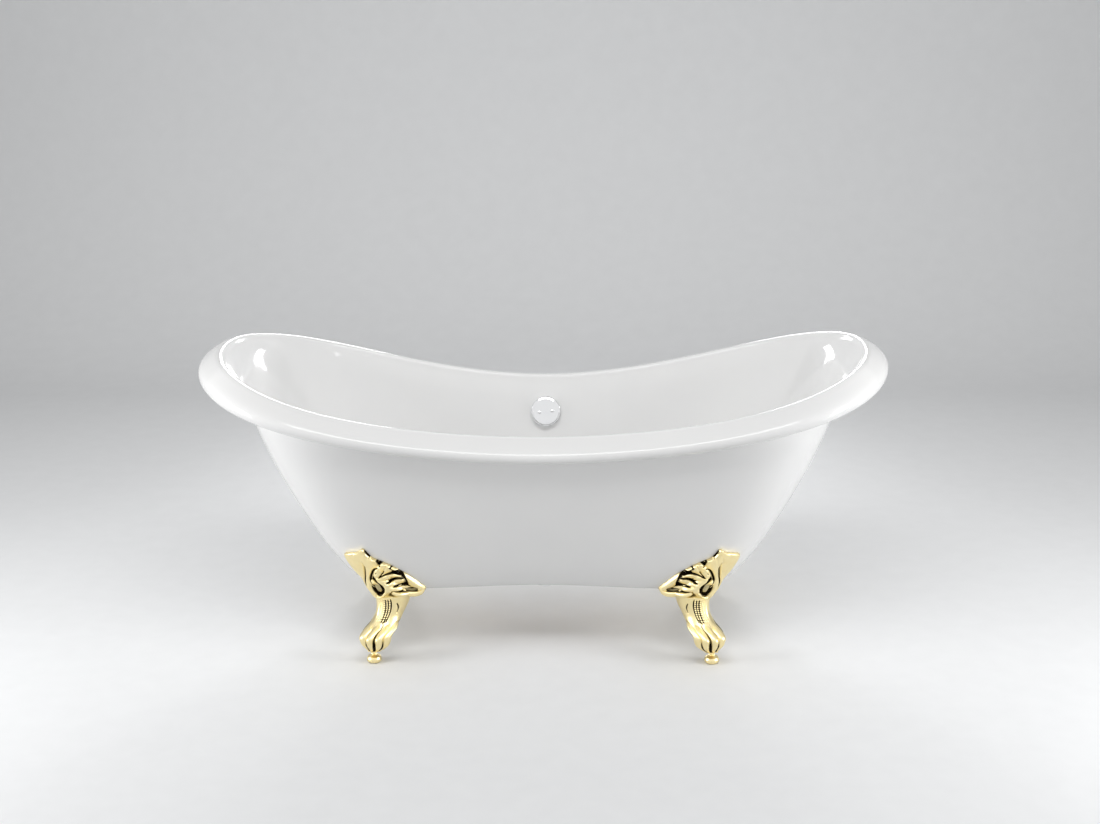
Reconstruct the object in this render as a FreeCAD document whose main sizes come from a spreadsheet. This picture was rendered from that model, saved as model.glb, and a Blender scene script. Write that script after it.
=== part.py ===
"""A double-slipper clawfoot bathtub, in millimetres.

The tub is an acrylic inner shell with a rolled rim, bonded into an acrylic outer shell, over a plywood base.
Four cast claw feet carry it.  Each bolts up into a steel bracket under the base, on a levelling knob.
A waste with a push plug sits in the floor.  An overflow in the back wall drains into it by a hose that runs in
the cavity between the shells.

X runs along the tub, Y towards the overflow wall, Z up.  The origin is on the floor, under the tub's middle.
"""
import FreeCAD
import Part
import Sketcher
import math
import os
from FreeCAD import Placement, Rotation, Vector

# -----------------------------------------------------------------------------------------------------------
# Driving dimensions
# -----------------------------------------------------------------------------------------------------------
DIMENSIONS = [
    # the crest is the top of the roll: a saddle, low amidships and high at both ends
    ("crest_half_length", 810.0),
    ("crest_half_width", 283.0),
    ("crest_height_mid", 612.0),
    ("crest_height_end", 764.0),
    ("waist_swell", 0.72),
    ("waist_return", -0.40),
    ("plan_squareness", 3.81),
    ("plan_roundness", 2.27),
    ("rim_lean_end", 16.0),
    # shells
    ("acrylic_inner", 5.0),
    ("acrylic_outer", 4.0),
    ("basin_floor_height", 228.0),
    ("basin_floor_half_length", 400.0),
    ("basin_floor_half_width", 122.0),
    ("underside_height", 183.0),
    ("underside_half_length", 507.0),
    ("underside_half_width", 180.0),
    ("skirt_top_half_length", 783.0),
    ("skirt_top_half_width", 306.0),
    # base board and foot brackets
    ("board_half_length", 470.0),
    ("board_half_width", 170.0),
    ("board_corner", 120.0),
    ("board_thickness", 18.0),
    ("bracket_height", 18.0),
    ("bracket_steel", 3.0),
    ("bracket_start", 105.0),
    ("bracket_end", 200.0),
    # claw feet, levelling knobs and their fixings
    ("foot_along", 425.0),
    ("foot_across", 240.0),
    ("foot_turn", 60.0),
    ("bolt_first", 130.0),
    ("bolt_second", 175.0),
    ("bolt_radius", 5.0),
    ("lug_thickness", 10.0),
    ("lug_half_width", 24.0),
    ("stud_radius", 5.0),
    ("stud_top", 78.0),
    ("knob_radius", 18.5),
    ("knob_top", 21.0),
    ("glide_radius", 13.0),
    ("insert_radius", 8.0),
    ("insert_bottom", 33.0),
    ("insert_top", 60.0),
    # waste and plug
    ("waste_hole_radius", 26.0),
    ("flange_radius", 35.0),
    ("tail_radius", 24.0),
    ("tail_bore", 20.0),
    ("waste_bottom", 150.0),
    ("outlet_radius", 19.05),
    ("outlet_bore", 17.5),
    ("outlet_end", 112.0),
    ("plug_radius", 31.0),
    ("plug_travel", 9.0),
    # overflow
    ("overflow_height", 512.0),
    ("overflow_hole_radius", 24.0),
    ("overflow_cap_radius", 40.0),
    ("overflow_cap_depth", 16.0),
    ("overflow_screw_spread", 17.5),
    ("overflow_screw_tilt", 6.0),
    ("hose_radius", 11.0),
]

doc = FreeCAD.newDocument("clawfoot_bathtub")
sheet = doc.addObject("Spreadsheet::Sheet", "Dimensions")
for row, (alias, amount) in enumerate(DIMENSIONS, start=1):
    sheet.set(f"A{row}", alias)
    sheet.set(f"B{row}", str(amount))
    sheet.setAlias(f"B{row}", alias)
doc.recompute()


def size(entry):
    """A size in millimetres: a plain number, or the value of the driving dimension that is named."""
    return float(sheet.get(entry)) if isinstance(entry, str) else float(entry)


FOOT_SIDES = {"front_left": (-1, -1), "front_right": (1, -1), "rear_left": (-1, 1), "rear_right": (1, 1)}
LEVEL = Rotation()
UP = Vector(0, 0, 1)

# levels of what is stacked between the underside and the basin's floor
FLANGE_TOP = size("underside_height") + size("acrylic_outer")
BOARD_BOTTOM = FLANGE_TOP + size("bracket_height")
BOARD_TOP = size("basin_floor_height") - size("acrylic_inner")


# -----------------------------------------------------------------------------------------------------------
# Sub-parts as bodies, with sketches that follow the driving dimensions
# -----------------------------------------------------------------------------------------------------------
def new_body(label, base=Vector(), turn=LEVEL):
    body = doc.addObject("PartDesign::Body", label)
    body.Label = label
    body.Placement = Placement(base, turn)
    return body


def new_sketch(body, name, role, lift=0.0):
    """A sketch on one of the body's own origin planes, or lifted off it."""
    sketch = body.newObject("Sketcher::SketchObject", name)
    plane = next(item for item in body.Origin.OriginFeatures if item.Role == role)
    sketch.AttachmentSupport = [(plane, "")]
    sketch.MapMode = "FlatFace"
    sketch.AttachmentOffset = Placement(Vector(0, 0, lift), LEVEL)
    return sketch


def bind(sketch, kind, *where, entry):
    """A sketch dimension, tied to the sheet where its size is a named one."""
    index = sketch.addConstraint(Sketcher.Constraint(kind, *where, size(entry)))
    if isinstance(entry, str):
        sketch.setExpression(f"Constraints[{index}]", f"Dimensions.{entry}")


def hold(sketch, index, point, across, up):
    """Holds a point of the sketch at its distances from the two axes."""
    for entry, kind, axis in ((across, "DistanceX", -2), (up, "DistanceY", -1)):
        if size(entry) == 0:
            sketch.addConstraint(Sketcher.Constraint("PointOnObject", index, point, axis))
        else:
            bind(sketch, kind, -1, 1, index, point, entry=entry)


def closed_outline(sketch, corners):
    """Straight lines round the corners.  Each corner is held by its distances from the sketch's axes."""
    places = [Vector(size(across), size(up), 0) for across, up in corners]
    count = len(places)
    for i in range(count):
        sketch.addGeometry(Part.LineSegment(places[i], places[(i + 1) % count]), False)
    for i in range(count):
        sketch.addConstraint(Sketcher.Constraint("Coincident", i, 2, (i + 1) % count, 1))
    for i, (across, up) in enumerate(corners):
        hold(sketch, i, 1, across, up)


def circle_in(sketch, radius, across=0.0, up=0.0):
    index = sketch.addGeometry(Part.Circle(Vector(size(across), size(up), 0), UP, size(radius)), False)
    bind(sketch, "Radius", index, entry=radius)
    hold(sketch, index, 3, across, up)


def turned(label, outline, base=Vector(), turn=LEVEL, rounds=()):
    """A turned piece: an outline of (radius, height) corners, revolved; rounds are (radius, height, fillet)."""
    body = new_body(label, base, turn)
    sketch = new_sketch(body, f"{label}_profile", "XZ_Plane")
    closed_outline(sketch, outline)
    revolution = body.newObject("PartDesign::Revolution", f"{label}_turned")
    revolution.Profile = sketch
    revolution.ReferenceAxis = (sketch, ["V_Axis"])
    revolution.Angle = 360
    doc.recompute()
    for count, (radius, height, fillet) in enumerate(rounds):
        round_edge(body, f"{label}_round_{count}", size(radius), size(height), fillet)
    return body


def round_edge(body, name, radius, height, fillet):
    """Rounds the circular edge of that radius, at that height in the body's own frame."""
    base = body.Tip
    found = [f"Edge{i}" for i, edge in enumerate(base.Shape.Edges, start=1)
             if hasattr(edge.Curve, "Radius") and abs(edge.Curve.Radius - radius) < 0.01
             and abs(edge.Curve.Center.z - height) < 0.01]
    feature = body.newObject("PartDesign::Fillet", name)
    feature.Base = (base, found)
    feature.Radius = fillet
    doc.recompute()


def pad(body, sketch, length):
    feature = body.newObject("PartDesign::Pad", f"{sketch.Name}_pad")
    feature.Profile = sketch
    feature.Length = size(length)
    if isinstance(length, str):
        feature.setExpression("Length", f"Dimensions.{length}")
    doc.recompute()
    return feature


def pocket(body, sketch, depth):
    """Cuts the sketch through towards +Z, and makes sure that something came off."""
    before = body.Shape.Volume
    feature = body.newObject("PartDesign::Pocket", f"{sketch.Name}_pocket")
    feature.Profile = sketch
    feature.Length = size(depth)
    feature.Reversed = True
    doc.recompute()
    if body.Shape.Volume >= before - 0.01:
        raise RuntimeError(f"{sketch.Name} cuts nothing")
    return feature


def formed(label, shape):
    """A sub-part whose form comes from its own geometry, or a group of like pieces, placed as the shape is."""
    part = doc.addObject("Part::Feature", label)
    part.Label = label
    place = shape.Placement
    part.Shape = shape
    part.Placement = place
    return part


def tube(radius, bore, bottom, top):
    outer = Part.makeCylinder(radius, top - bottom, Vector(0, 0, bottom))
    return outer.cut(Part.makeCylinder(bore, top - bottom + 2, Vector(0, 0, bottom - 1))) if bore else outer


def hexagon(across_flats, bottom, top):
    """A hexagonal prism, measured across its flats."""
    reach = across_flats / math.sqrt(3)
    corners = [Vector(reach * math.cos(math.radians(60 * i)), reach * math.sin(math.radians(60 * i)), bottom)
               for i in range(6)]
    return Part.Face(Part.makePolygon(corners + corners[:1])).extrude(Vector(0, 0, top - bottom))


# -----------------------------------------------------------------------------------------------------------
# Rings and nets: each shell is one smooth surface over rings of points round the tub
# -----------------------------------------------------------------------------------------------------------
RING_POINTS = 40


def plan(angle, half_length, half_width):
    """The tub's oval plan, pinched at the waist, at an angle round it from the +X end."""
    along = math.cos(angle)
    share = abs(along)
    swell = 1 + size("waist_swell") * share ** 2 + size("waist_return") * share ** 4
    closing = max(0.0, 1 - share ** size("plan_squareness")) ** (1 / size("plan_roundness"))
    return half_length * along, math.copysign(half_width * swell * closing, math.sin(angle))


def crest_height(angle):
    rise = size("crest_height_end") - size("crest_height_mid")
    return size("crest_height_mid") + rise * math.cos(angle) ** 2


def ring(half_length, half_width, height):
    """Points round the tub at one height, or at a height that depends on the angle."""
    points = []
    for i in range(RING_POINTS):
        angle = 2 * math.pi * i / RING_POINTS
        x, y = plan(angle, half_length, half_width)
        points.append(Vector(x, y, height(angle) if callable(height) else height))
    return points


def between(ring_a, ring_b, inward, drop):
    """A ring between a and b: inward is the share of the way in plan, drop the share of the way in height."""
    return [Vector(a.x + (b.x - a.x) * inward, a.y + (b.y - a.y) * inward, a.z + (b.z - a.z) * drop)
            for a, b in zip(ring_a, ring_b)]


def outward(points, i):
    """The level direction square to a ring at one of its points, away from the tub."""
    along = points[(i + 1) % len(points)] - points[i - 1]
    return Vector(along.y, -along.x, 0).normalize()


def offset_net(net, distance):
    """The same net moved square to itself, outward where the net climbs."""
    moved = []
    for row, points in enumerate(net):
        above = net[min(row + 1, len(net) - 1)]
        below = net[max(row - 1, 0)]
        square = [(points[(i + 1) % RING_POINTS] - points[i - 1]).cross(above[i] - below[i]).normalize()
                  for i in range(RING_POINTS)]
        moved.append([point + away * distance for point, away in zip(points, square)])
    return moved


def poles_through(points):
    """Poles of a closed cubic spline that passes very nearly through the points."""
    count = len(points)
    return [points[i] * (4 / 3) - (points[i - 1] + points[(i + 1) % count]) * (1 / 6) for i in range(count)]


def net_surface(net):
    """A smooth surface that is closed round the tub and drawn in section by the net's rows."""
    columns = [poles_through(points) for points in net]
    poles = [[column[i] for column in columns] for i in range(RING_POINTS)]
    spans = len(net) - 3
    surface = Part.BSplineSurface()
    surface.buildFromPolesMultsKnots(
        poles,
        [1] * (RING_POINTS + 1), [4] + [1] * (spans - 1) + [4],
        list(range(RING_POINTS + 1)), list(range(spans + 1)),
        True, False, 3, 3)
    return surface


def end_rings(face):
    """The closed edges at a net face's first ring and at its last."""
    closed = [edge for edge in face.Edges if edge.isClosed() and not edge.isSeam(face)]
    _, _, first, last = face.Surface.bounds()
    starts = [Part.Vertex(face.Surface.value(0, first)), Part.Vertex(face.Surface.value(0, last))]
    return [min(closed, key=lambda edge: edge.distToShape(start)[0]) for start in starts]


def sewn_solid(faces):
    shell = Part.makeShell(faces)
    shell.sewShape()
    solid = Part.makeSolid(shell)
    solid.fix(0.01, 0.01, 0.01)
    if solid.Volume < 0:
        solid.reverse()
    return solid


def cap(edge):
    return Part.Face(Part.Wire([edge]))


def shell_solid(net, thickness, closed_floor):
    """A sheet of even thickness on a net.  closed_floor fills the net's first ring."""
    shown = net_surface(net).toShape()
    hidden = net_surface(offset_net(net, thickness)).toShape()
    shown_first, shown_last = end_rings(shown)
    hidden_first, hidden_last = end_rings(hidden)
    faces = [shown, hidden, Part.makeRuledSurface(shown_last, hidden_last)]
    if closed_floor:
        faces += [cap(shown_first), cap(hidden_first)]
    else:
        faces += [Part.makeRuledSurface(shown_first, hidden_first)]
    return sewn_solid(faces)


# -----------------------------------------------------------------------------------------------------------
# The two shells
# -----------------------------------------------------------------------------------------------------------
# The rim's section, as distances out from the crest and up from it: crest, slope, bulge and lip.
RIM_SECTION = [(-9.0, -20.0), (-7.0, -4.0), (-1.0, 1.6), (9.0, -0.5), (28.0, -5.5), (48.0, -9.0),
               (62.0, -16.0), (66.5, -30.0), (62.0, -43.0), (50.0, -49.0)]
WALL_TOP = (-22.0, -48.0)
LIP_UNDERSIDE = (38.0, -49.0)

# Shares of the way from a wall's top to its foot: in plan, and in height.
BASIN_WALL = [(1.0, 1.0), (0.86, 1.0), (0.68, 0.95), (0.50, 0.74), (0.33, 0.50), (0.17, 0.27), (0.05, 0.10)]
SKIRT_WALL = [(0.975, 1.0), (0.88, 0.955), (0.72, 0.845), (0.54, 0.68), (0.375, 0.515), (0.235, 0.352),
              (0.11, 0.18)]
SKIRT_FLANGE = (130.0, 95.0)            # how far the bottom flange turns in, along the tub and across it

crest = ring(size("crest_half_length"), size("crest_half_width"), crest_height)


def rim_ring(out, up):
    """The ring at one place of the rim's section, which leans outward towards the ends."""
    points = []
    for i, top in enumerate(crest):
        lean = math.radians(size("rim_lean_end")) * abs(math.cos(2 * math.pi * i / RING_POINTS)) ** 3
        away = out * math.cos(lean) + up * math.sin(lean)
        rise = up * math.cos(lean) - out * math.sin(lean)
        points.append(top + outward(crest, i) * away + UP * rise)
    return points


lip_underside = rim_ring(*LIP_UNDERSIDE)
skirt_plan = ring(size("skirt_top_half_length"), size("skirt_top_half_width"), 0.0)
skirt_top = [Vector(foot.x, foot.y, low.z + 4.0) for foot, low in zip(skirt_plan, lip_underside)]
skirt_foot = ring(size("underside_half_length"), size("underside_half_width"), size("underside_height"))
flange_edge = ring(size("underside_half_length") - SKIRT_FLANGE[0],
                   size("underside_half_width") - SKIRT_FLANGE[1], size("underside_height"))

skirt_net = [flange_edge, between(flange_edge, skirt_foot, 0.6, 0), between(flange_edge, skirt_foot, 0.9, 0)]
skirt_net += [between(skirt_top, skirt_foot, inward, drop) for inward, drop in SKIRT_WALL]
skirt_net += [skirt_top]

wall_top = rim_ring(*WALL_TOP)
basin_floor = ring(size("basin_floor_half_length"), size("basin_floor_half_width"), size("basin_floor_height"))
lip_return = [Vector(top.x, top.y, low.z) + outward(skirt_plan, i) * 0.4
              for i, (top, low) in enumerate(zip(skirt_plan, lip_underside))]

basin_net = [between(wall_top, basin_floor, inward, drop) for inward, drop in BASIN_WALL]
basin_net += [wall_top]
basin_net += [rim_ring(out, up) for out, up in RIM_SECTION]
basin_net += [between(lip_underside, lip_return, 0.35, 0.35), lip_return]


def overflow_seat():
    """Where the overflow's axis meets the basin's wall, and the direction out of the basin there."""
    surface = net_surface(basin_net)
    height = size("overflow_height")
    probe = Part.LineSegment(Vector(0, 100, height), Vector(0, 400, height)).toShape()
    hit = surface.toShape().section(probe).Vertexes[0].Point
    away = surface.normal(*surface.parameter(hit))
    return hit, away if away.y > 0 else away * -1


seat, away_from_basin = overflow_seat()
OVERFLOW_TURN = Rotation(Vector(0, 0, 1), away_from_basin)


def inner_shell():
    shell = shell_solid(basin_net, size("acrylic_inner"), True)
    waste_hole = Part.makeCylinder(size("waste_hole_radius"), 40, Vector(0, 0, BOARD_TOP - 20))
    through = seat - away_from_basin * 30
    overflow_hole = Part.makeCylinder(size("overflow_hole_radius"), 60, through, away_from_basin)
    return shell.cut(waste_hole).cut(overflow_hole)


formed("inner_shell", inner_shell())


# -----------------------------------------------------------------------------------------------------------
# Base board and foot brackets
# -----------------------------------------------------------------------------------------------------------
WASTE_CLEARANCE = 48.0          # radius of the hole in the board round the waste
HOSE_SLOT = 17.0                # half the width of the slot that lets the hose reach the waste
BRACKET_WEB = 20.0
BRACKET_WIDTH = 36.0
SCREW_RADIUS = 2.0
SCREW_PLACES = [(118.0, -28.0), (118.0, 28.0), (187.0, -28.0), (187.0, 28.0)]


def base_board():
    """Plywood under the basin's floor: rounded corners, a hole for the waste, a slot for the overflow hose."""
    body = new_body("base_board", UP * BOARD_BOTTOM)
    outline = new_sketch(body, "board_outline", "XY_Plane")
    half_length, half_width = size("board_half_length"), size("board_half_width")
    closed_outline(outline, [(half_length, half_width), (-half_length, half_width),
                             (-half_length, -half_width), (half_length, -half_width)])
    board = pad(body, outline, "board_thickness")
    upright = [f"Edge{i}" for i, edge in enumerate(board.Shape.Edges, start=1)
               if abs(edge.BoundBox.ZLength - size("board_thickness")) < 0.01]
    corners = body.newObject("PartDesign::Fillet", "board_corners")
    corners.Base = (board, upright)
    corners.setExpression("Radius", "Dimensions.board_corner")
    doc.recompute()
    hole = new_sketch(body, "board_waste_hole", "XY_Plane")
    circle_in(hole, WASTE_CLEARANCE)
    pocket(body, hole, "board_thickness")
    slot = new_sketch(body, "board_hose_slot", "XY_Plane")
    reach = half_width + 5
    closed_outline(slot, [(HOSE_SLOT, reach), (-HOSE_SLOT, reach), (-HOSE_SLOT, 0), (HOSE_SLOT, 0)])
    pocket(body, slot, "board_thickness")


def foot_place(name):
    """Where a foot's levelling axis stands, and the turn that points its own X axis in under the tub."""
    along, across = FOOT_SIDES[name]
    angle = math.degrees(math.atan2(-across * math.sin(math.radians(size("foot_turn"))),
                                    -along * math.cos(math.radians(size("foot_turn")))))
    return Vector(along * size("foot_along"), across * size("foot_across"), 0), Rotation(UP, angle)


def foot_bracket(name):
    """A top-hat bracket of folded steel: its web takes the foot's bolts, its flanges screw to the board."""
    base, turn = foot_place(name)
    body = new_body(f"foot_bracket_{name}", base + UP * FLANGE_TOP, turn)
    section = new_sketch(body, f"bracket_section_{name}", "YZ_Plane", size("bracket_start"))
    high, steel = size("bracket_height"), size("bracket_steel")
    closed_outline(section, [
        (-BRACKET_WIDTH, high), (-BRACKET_WIDTH, high - steel), (-BRACKET_WEB, high - steel),
        (-BRACKET_WEB, 0),
        (BRACKET_WEB, 0), (BRACKET_WEB, high - steel), (BRACKET_WIDTH, high - steel), (BRACKET_WIDTH, high),
        (BRACKET_WEB - steel, high), (BRACKET_WEB - steel, steel), (steel - BRACKET_WEB, steel),
        (steel - BRACKET_WEB, high)])
    pad(body, section, size("bracket_end") - size("bracket_start"))
    holes = new_sketch(body, f"bracket_holes_{name}", "XY_Plane")
    for along in ("bolt_first", "bolt_second"):
        circle_in(holes, size("bolt_radius") + 0.5, across=along)
    for along, side in SCREW_PLACES:
        circle_in(holes, SCREW_RADIUS + 0.3, across=along, up=side)
    pocket(body, holes, "bracket_height")


def at_foot(shape, name):
    base, turn = foot_place(name)
    placed = shape.copy()
    placed.Placement = Placement(base, turn) * shape.Placement
    return placed


def grouped(label, shapes):
    """Like pieces in one node, each still a solid of its own."""
    return formed(label, Part.makeCompound(shapes))


def at_every_bolt(shape):
    return [at_foot(shape.translated(Vector(size(along), 0, 0)), name)
            for name in FOOT_SIDES for along in ("bolt_first", "bolt_second")]


def fixings():
    """M10 bolts with washers, up through each foot's lug into nuts on the bracket, and the board's screws."""
    radius = size("bolt_radius")
    lug_bottom = size("underside_height") - size("lug_thickness")
    washer_bottom = lug_bottom - 2.0
    head_bottom = washer_bottom - 6.4
    nut_bottom = FLANGE_TOP + size("bracket_steel")
    bolt = hexagon(17.0, head_bottom, washer_bottom).fuse(tube(radius, 0, washer_bottom, nut_bottom + 12))
    grouped("foot_bolts", at_every_bolt(bolt.removeSplitter()))
    grouped("foot_washers", at_every_bolt(tube(11.0, radius + 0.3, washer_bottom, lug_bottom)))
    nut = hexagon(17.0, nut_bottom, nut_bottom + 8).cut(tube(radius + 0.05, 0, nut_bottom - 1, nut_bottom + 9))
    grouped("foot_nuts", at_every_bolt(nut))
    under_flange = BOARD_BOTTOM - size("bracket_steel")
    head = tube(4.0, 0, under_flange - 2.2, under_flange)
    screw = head.fuse(tube(SCREW_RADIUS, 0, under_flange, BOARD_TOP - 4)).removeSplitter()
    grouped("board_screws", [at_foot(screw.translated(Vector(along, side, 0)), name)
                             for name in FOOT_SIDES for along, side in SCREW_PLACES])


def outer_shell():
    """The skirt, drilled through its bottom flange for the feet's bolts."""
    skirt = shell_solid(skirt_net, -size("acrylic_outer"), False)
    hole = tube(size("bolt_radius") + 0.5, 0, size("underside_height") - 5, FLANGE_TOP + 5)
    return skirt.cut(at_every_bolt(hole))


formed("outer_shell", outer_shell())
base_board()
for foot in FOOT_SIDES:
    foot_bracket(foot)
fixings()


# -----------------------------------------------------------------------------------------------------------
# Claw feet.  In a foot's own frame X points in under the tub, Y along its wall and Z up; the front left foot's
# Y points to the tub's end.  The others are its mirror images.
# -----------------------------------------------------------------------------------------------------------
# The leg's level sections, paw to knee: height, centre in from the levelling axis and along the wall, half
# depth, half width.
LEG = [(32.0, 0.0, -2.0, 15.0, 17.0), (44.0, 2.0, -6.0, 23.0, 26.0), (60.0, 3.0, -7.0, 31.0, 35.0),
       (79.0, 5.0, -8.0, 34.0, 39.0), (100.0, 34.0, -12.0, 40.0, 36.0), (120.0, 56.0, -13.0, 42.0, 34.0),
       (140.0, 67.0, -14.0, 45.0, 38.5), (163.0, 69.0, -13.0, 46.0, 45.0), (186.0, 60.0, -8.0, 45.0, 56.0),
       (205.0, 49.0, -3.0, 37.0, 53.0), (225.0, 38.0, 0.0, 28.0, 42.0), (243.0, 28.0, 0.0, 18.0, 28.0),
       (256.0, 21.0, 0.0, 9.0, 14.0)]
# A toe over the ball: height, reach from the leg's centre, half thickness.
TOE = [(120.0, 22.0, 7.0), (104.0, 33.0, 9.0), (86.0, 37.5, 9.5), (68.0, 37.0, 8.0), (50.0, 31.0, 7.0),
       (37.0, 22.0, 3.5)]
TOE_ANGLES = (-81.0, -46.0, -8.0, 27.0, 150.0)
# The shield's outline on the tub's wall: across it, and height.
SHIELD = [(-85.0, 183.5), (-99.0, 190.0), (-93.0, 210.0), (-83.0, 228.0), (-73.0, 243.0), (-60.0, 258.0),
          (-44.0, 268.0), (-31.0, 276.0), (-17.0, 283.0), (-7.0, 295.0), (5.0, 311.0), (20.0, 302.0),
          (36.0, 295.0), (52.0, 291.0), (63.0, 287.0), (67.0, 275.0), (64.0, 259.0), (61.0, 244.0),
          (56.0, 229.0), (49.0, 211.0), (38.0, 190.0), (0.0, 184.5), (-45.0, 184.5)]
# Acanthus lobes that stand up from the shield, root to tip: across, height, half width.
LOBES = [
    [(24.0, 214.0, 12.0), (38.0, 236.0, 18.0), (47.0, 257.0, 19.0), (53.0, 276.0, 13.0)],
    [(34.0, 268.0, 16.0), (20.0, 282.0, 13.0), (11.0, 295.0, 8.0), (6.0, 307.0, 3.0)],
    [(15.0, 192.0, 8.0), (16.0, 215.0, 8.0), (9.0, 240.0, 10.0), (-5.0, 262.0, 9.0), (-14.0, 276.0, 4.0)],
    [(-17.0, 238.0, 10.0), (-30.0, 252.0, 8.0), (-42.0, 264.0, 4.0)],
    [(-19.0, 226.0, 8.0), (-39.0, 229.0, 7.0), (-57.0, 234.0, 6.0), (-69.0, 232.0, 3.0)],
    [(-29.0, 210.0, 9.0), (-47.0, 212.0, 8.0), (-63.0, 217.0, 4.0)],
    [(-35.0, 198.0, 9.0), (-57.0, 203.0, 10.0), (-79.0, 206.0, 11.0), (-96.0, 194.0, 4.0)],
    [(-41.0, 187.0, 6.0), (-61.0, 181.0, 8.0), (-81.0, 180.0, 8.0), (-95.0, 187.0, 4.0)],
]
# The rolled collar that the leaves end in, round the front of the knee: across, height, half thickness.
COLLAR = [(44.0, 206.0, 4.0), (40.0, 190.0, 5.0), (33.0, 175.0, 5.5), (20.0, 167.5, 6.0), (4.0, 165.5, 6.5),
          (-12.0, 169.0, 6.0), (-27.0, 177.0, 5.5), (-38.0, 190.0, 5.0), (-43.0, 204.0, 4.0)]
CURL = (-18.0, 240.0, 11.0)
CASTING_WALL = 7.0
SHIELD_THICKNESS = 9.0
FOOT_GAP = 0.3                          # between the casting and the skirt


def tub_form(distance):
    """The space in the skirt, grown by a distance and closed over the top, as the front left foot sees it."""
    grown = offset_net(skirt_net, distance)
    lid = ring(size("underside_half_length"), size("underside_half_width"), size("crest_height_end") + 60)
    net = grown + [between(grown[-1], lid, 0.3, 0.8), lid]
    face = net_surface(net).toShape()
    first, last = end_rings(face)
    return in_foot_frame(sewn_solid([face, cap(first), cap(last)]))


def oval(centre, across, up, half_across, half_up):
    """A smooth closed section in the plane of two directions."""
    turns = [math.pi * i / 6 for i in range(12)]
    curve = Part.BSplineCurve()
    curve.interpolate([centre + across * (half_across * math.cos(turn)) + up * (half_up * math.sin(turn))
                       for turn in turns], True)
    return Part.Wire([curve.toShape()])


def lofted(sections):
    return Part.makeLoft(sections, True, False, False)


def along_run(places, halves, facing):
    """Oval sections square to a run of places, lofted: halves are (half width, half height towards facing)."""
    sections = []
    for i, (place, (half_across, half_up)) in enumerate(zip(places, halves)):
        run = (places[min(i + 1, len(places) - 1)] - places[max(i - 1, 0)]).normalize()
        across = run.cross(facing).normalize()
        sections.append(oval(place, across, across.cross(run), half_across, half_up))
    return lofted(sections)


def leg_section(height):
    """The leg's centre (in, along), half depth and half width at a height, read between its sections."""
    for low, high in zip(LEG, LEG[1:]):
        if height <= high[0]:
            share = (height - low[0]) / (high[0] - low[0])
            return [a + (b - a) * share for a, b in zip(low[1:], high[1:])]
    return LEG[-1][1:]


def leg_front(across, height):
    """The point of the leg's outer face at a place across it."""
    inward, along, deep, wide = leg_section(height)
    return Vector(inward - deep * math.sqrt(max(0.0, 1 - ((across - along) / wide) ** 2)), across, height)


def toe(angle):
    """One toe: round sections down the ball's side, square to its run."""
    turn = math.radians(angle)
    side = Vector(-math.cos(turn), math.sin(turn), 0)
    places = [Vector(*leg_section(height)[:2], height) + side * reach for height, reach, _ in TOE]
    return along_run(places, [(half * 0.9, half) for _, _, half in TOE], side)


def in_foot_frame(shape):
    """A shape of the tub's own frame, seen from the front left foot."""
    base, turn = foot_place("front_left")
    seen = shape.copy()
    seen.Placement = Placement(base, turn).inverse() * shape.Placement
    return seen


def wall_point(wall, across, height):
    """The point of the tub's wall at a place of the shield's outline."""
    probe = Part.LineSegment(Vector(-60, across, height), Vector(200, across, height)).toShape()
    return min((vertex.Point for vertex in wall.common(probe).Vertexes), key=lambda point: point.x)


def lobe(wall, run):
    """A leaf's lobe: flat oval sections along a line on the wall."""
    places = [wall_point(wall, across, height) for across, height, _ in run]
    return along_run(places, [(half, 4.0 + half * 0.55) for _, _, half in run], Vector(1, 0, 0.7))


def shield(plate):
    """The plate that lies on the tub's wall, cut to its outline."""
    outline = Part.BSplineCurve()
    outline.interpolate([Vector(-150, across, height) for across, height in SHIELD], True)
    return Part.Face(Part.Wire([outline.toShape()])).extrude(Vector(280, 0, 0)).common(plate)


def leg(wall=0.0, sections=LEG):
    """The leg, or the hollow that leaves a wall of that thickness in it."""
    ahead, across = Vector(1, 0, 0), Vector(0, 1, 0)
    return lofted([oval(Vector(inward, along, height), ahead, across, deep - wall, wide - wall)
                   for height, inward, along, deep, wide in sections])


def bolting_lug():
    """The flat tongue that runs in under the tub to the bracket's bolts."""
    start, end = 60.0, 215.0
    return Part.makeBox(end - start, 2 * size("lug_half_width"), size("lug_thickness"),
                        Vector(start, -size("lug_half_width"),
                               size("underside_height") - size("lug_thickness")))


def foot_drillings():
    """Holes for the bolts through the lug, and for the thread insert and the stud up the paw."""
    bolts = [Part.makeCylinder(size("bolt_radius") + 0.5, 60, Vector(size(along), 0, 150))
             for along in ("bolt_first", "bolt_second")]
    return bolts + [tube(size("insert_radius"), 0, 20, size("insert_top")),
                    tube(size("stud_radius") + 1.5, 0, 20, size("stud_top") + 20)]


def claw_foot():
    """The front left foot: shield with its leaves, collar, knee, leg, ball and claw."""
    plate = tub_form(SHIELD_THICKNESS)
    across, height, half = CURL
    curl = Part.makeSphere(half, wall_point(plate, across, height))
    collar = along_run([leg_front(across, height) - Vector(2, 0, 0) for across, height, _ in COLLAR],
                       [(half, half) for _, _, half in COLLAR], Vector(-1, 0, 0.2))
    pieces = [toe(angle) for angle in TOE_ANGLES] + [lobe(plate, run) for run in LOBES]
    foot = leg().fuse(pieces + [curl, collar, shield(plate), bolting_lug()])
    foot = foot.cut([leg(CASTING_WALL, LEG[3:-1]), tub_form(FOOT_GAP)]).cut(foot_drillings())
    return max(foot.Solids, key=lambda solid: solid.Volume)


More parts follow.
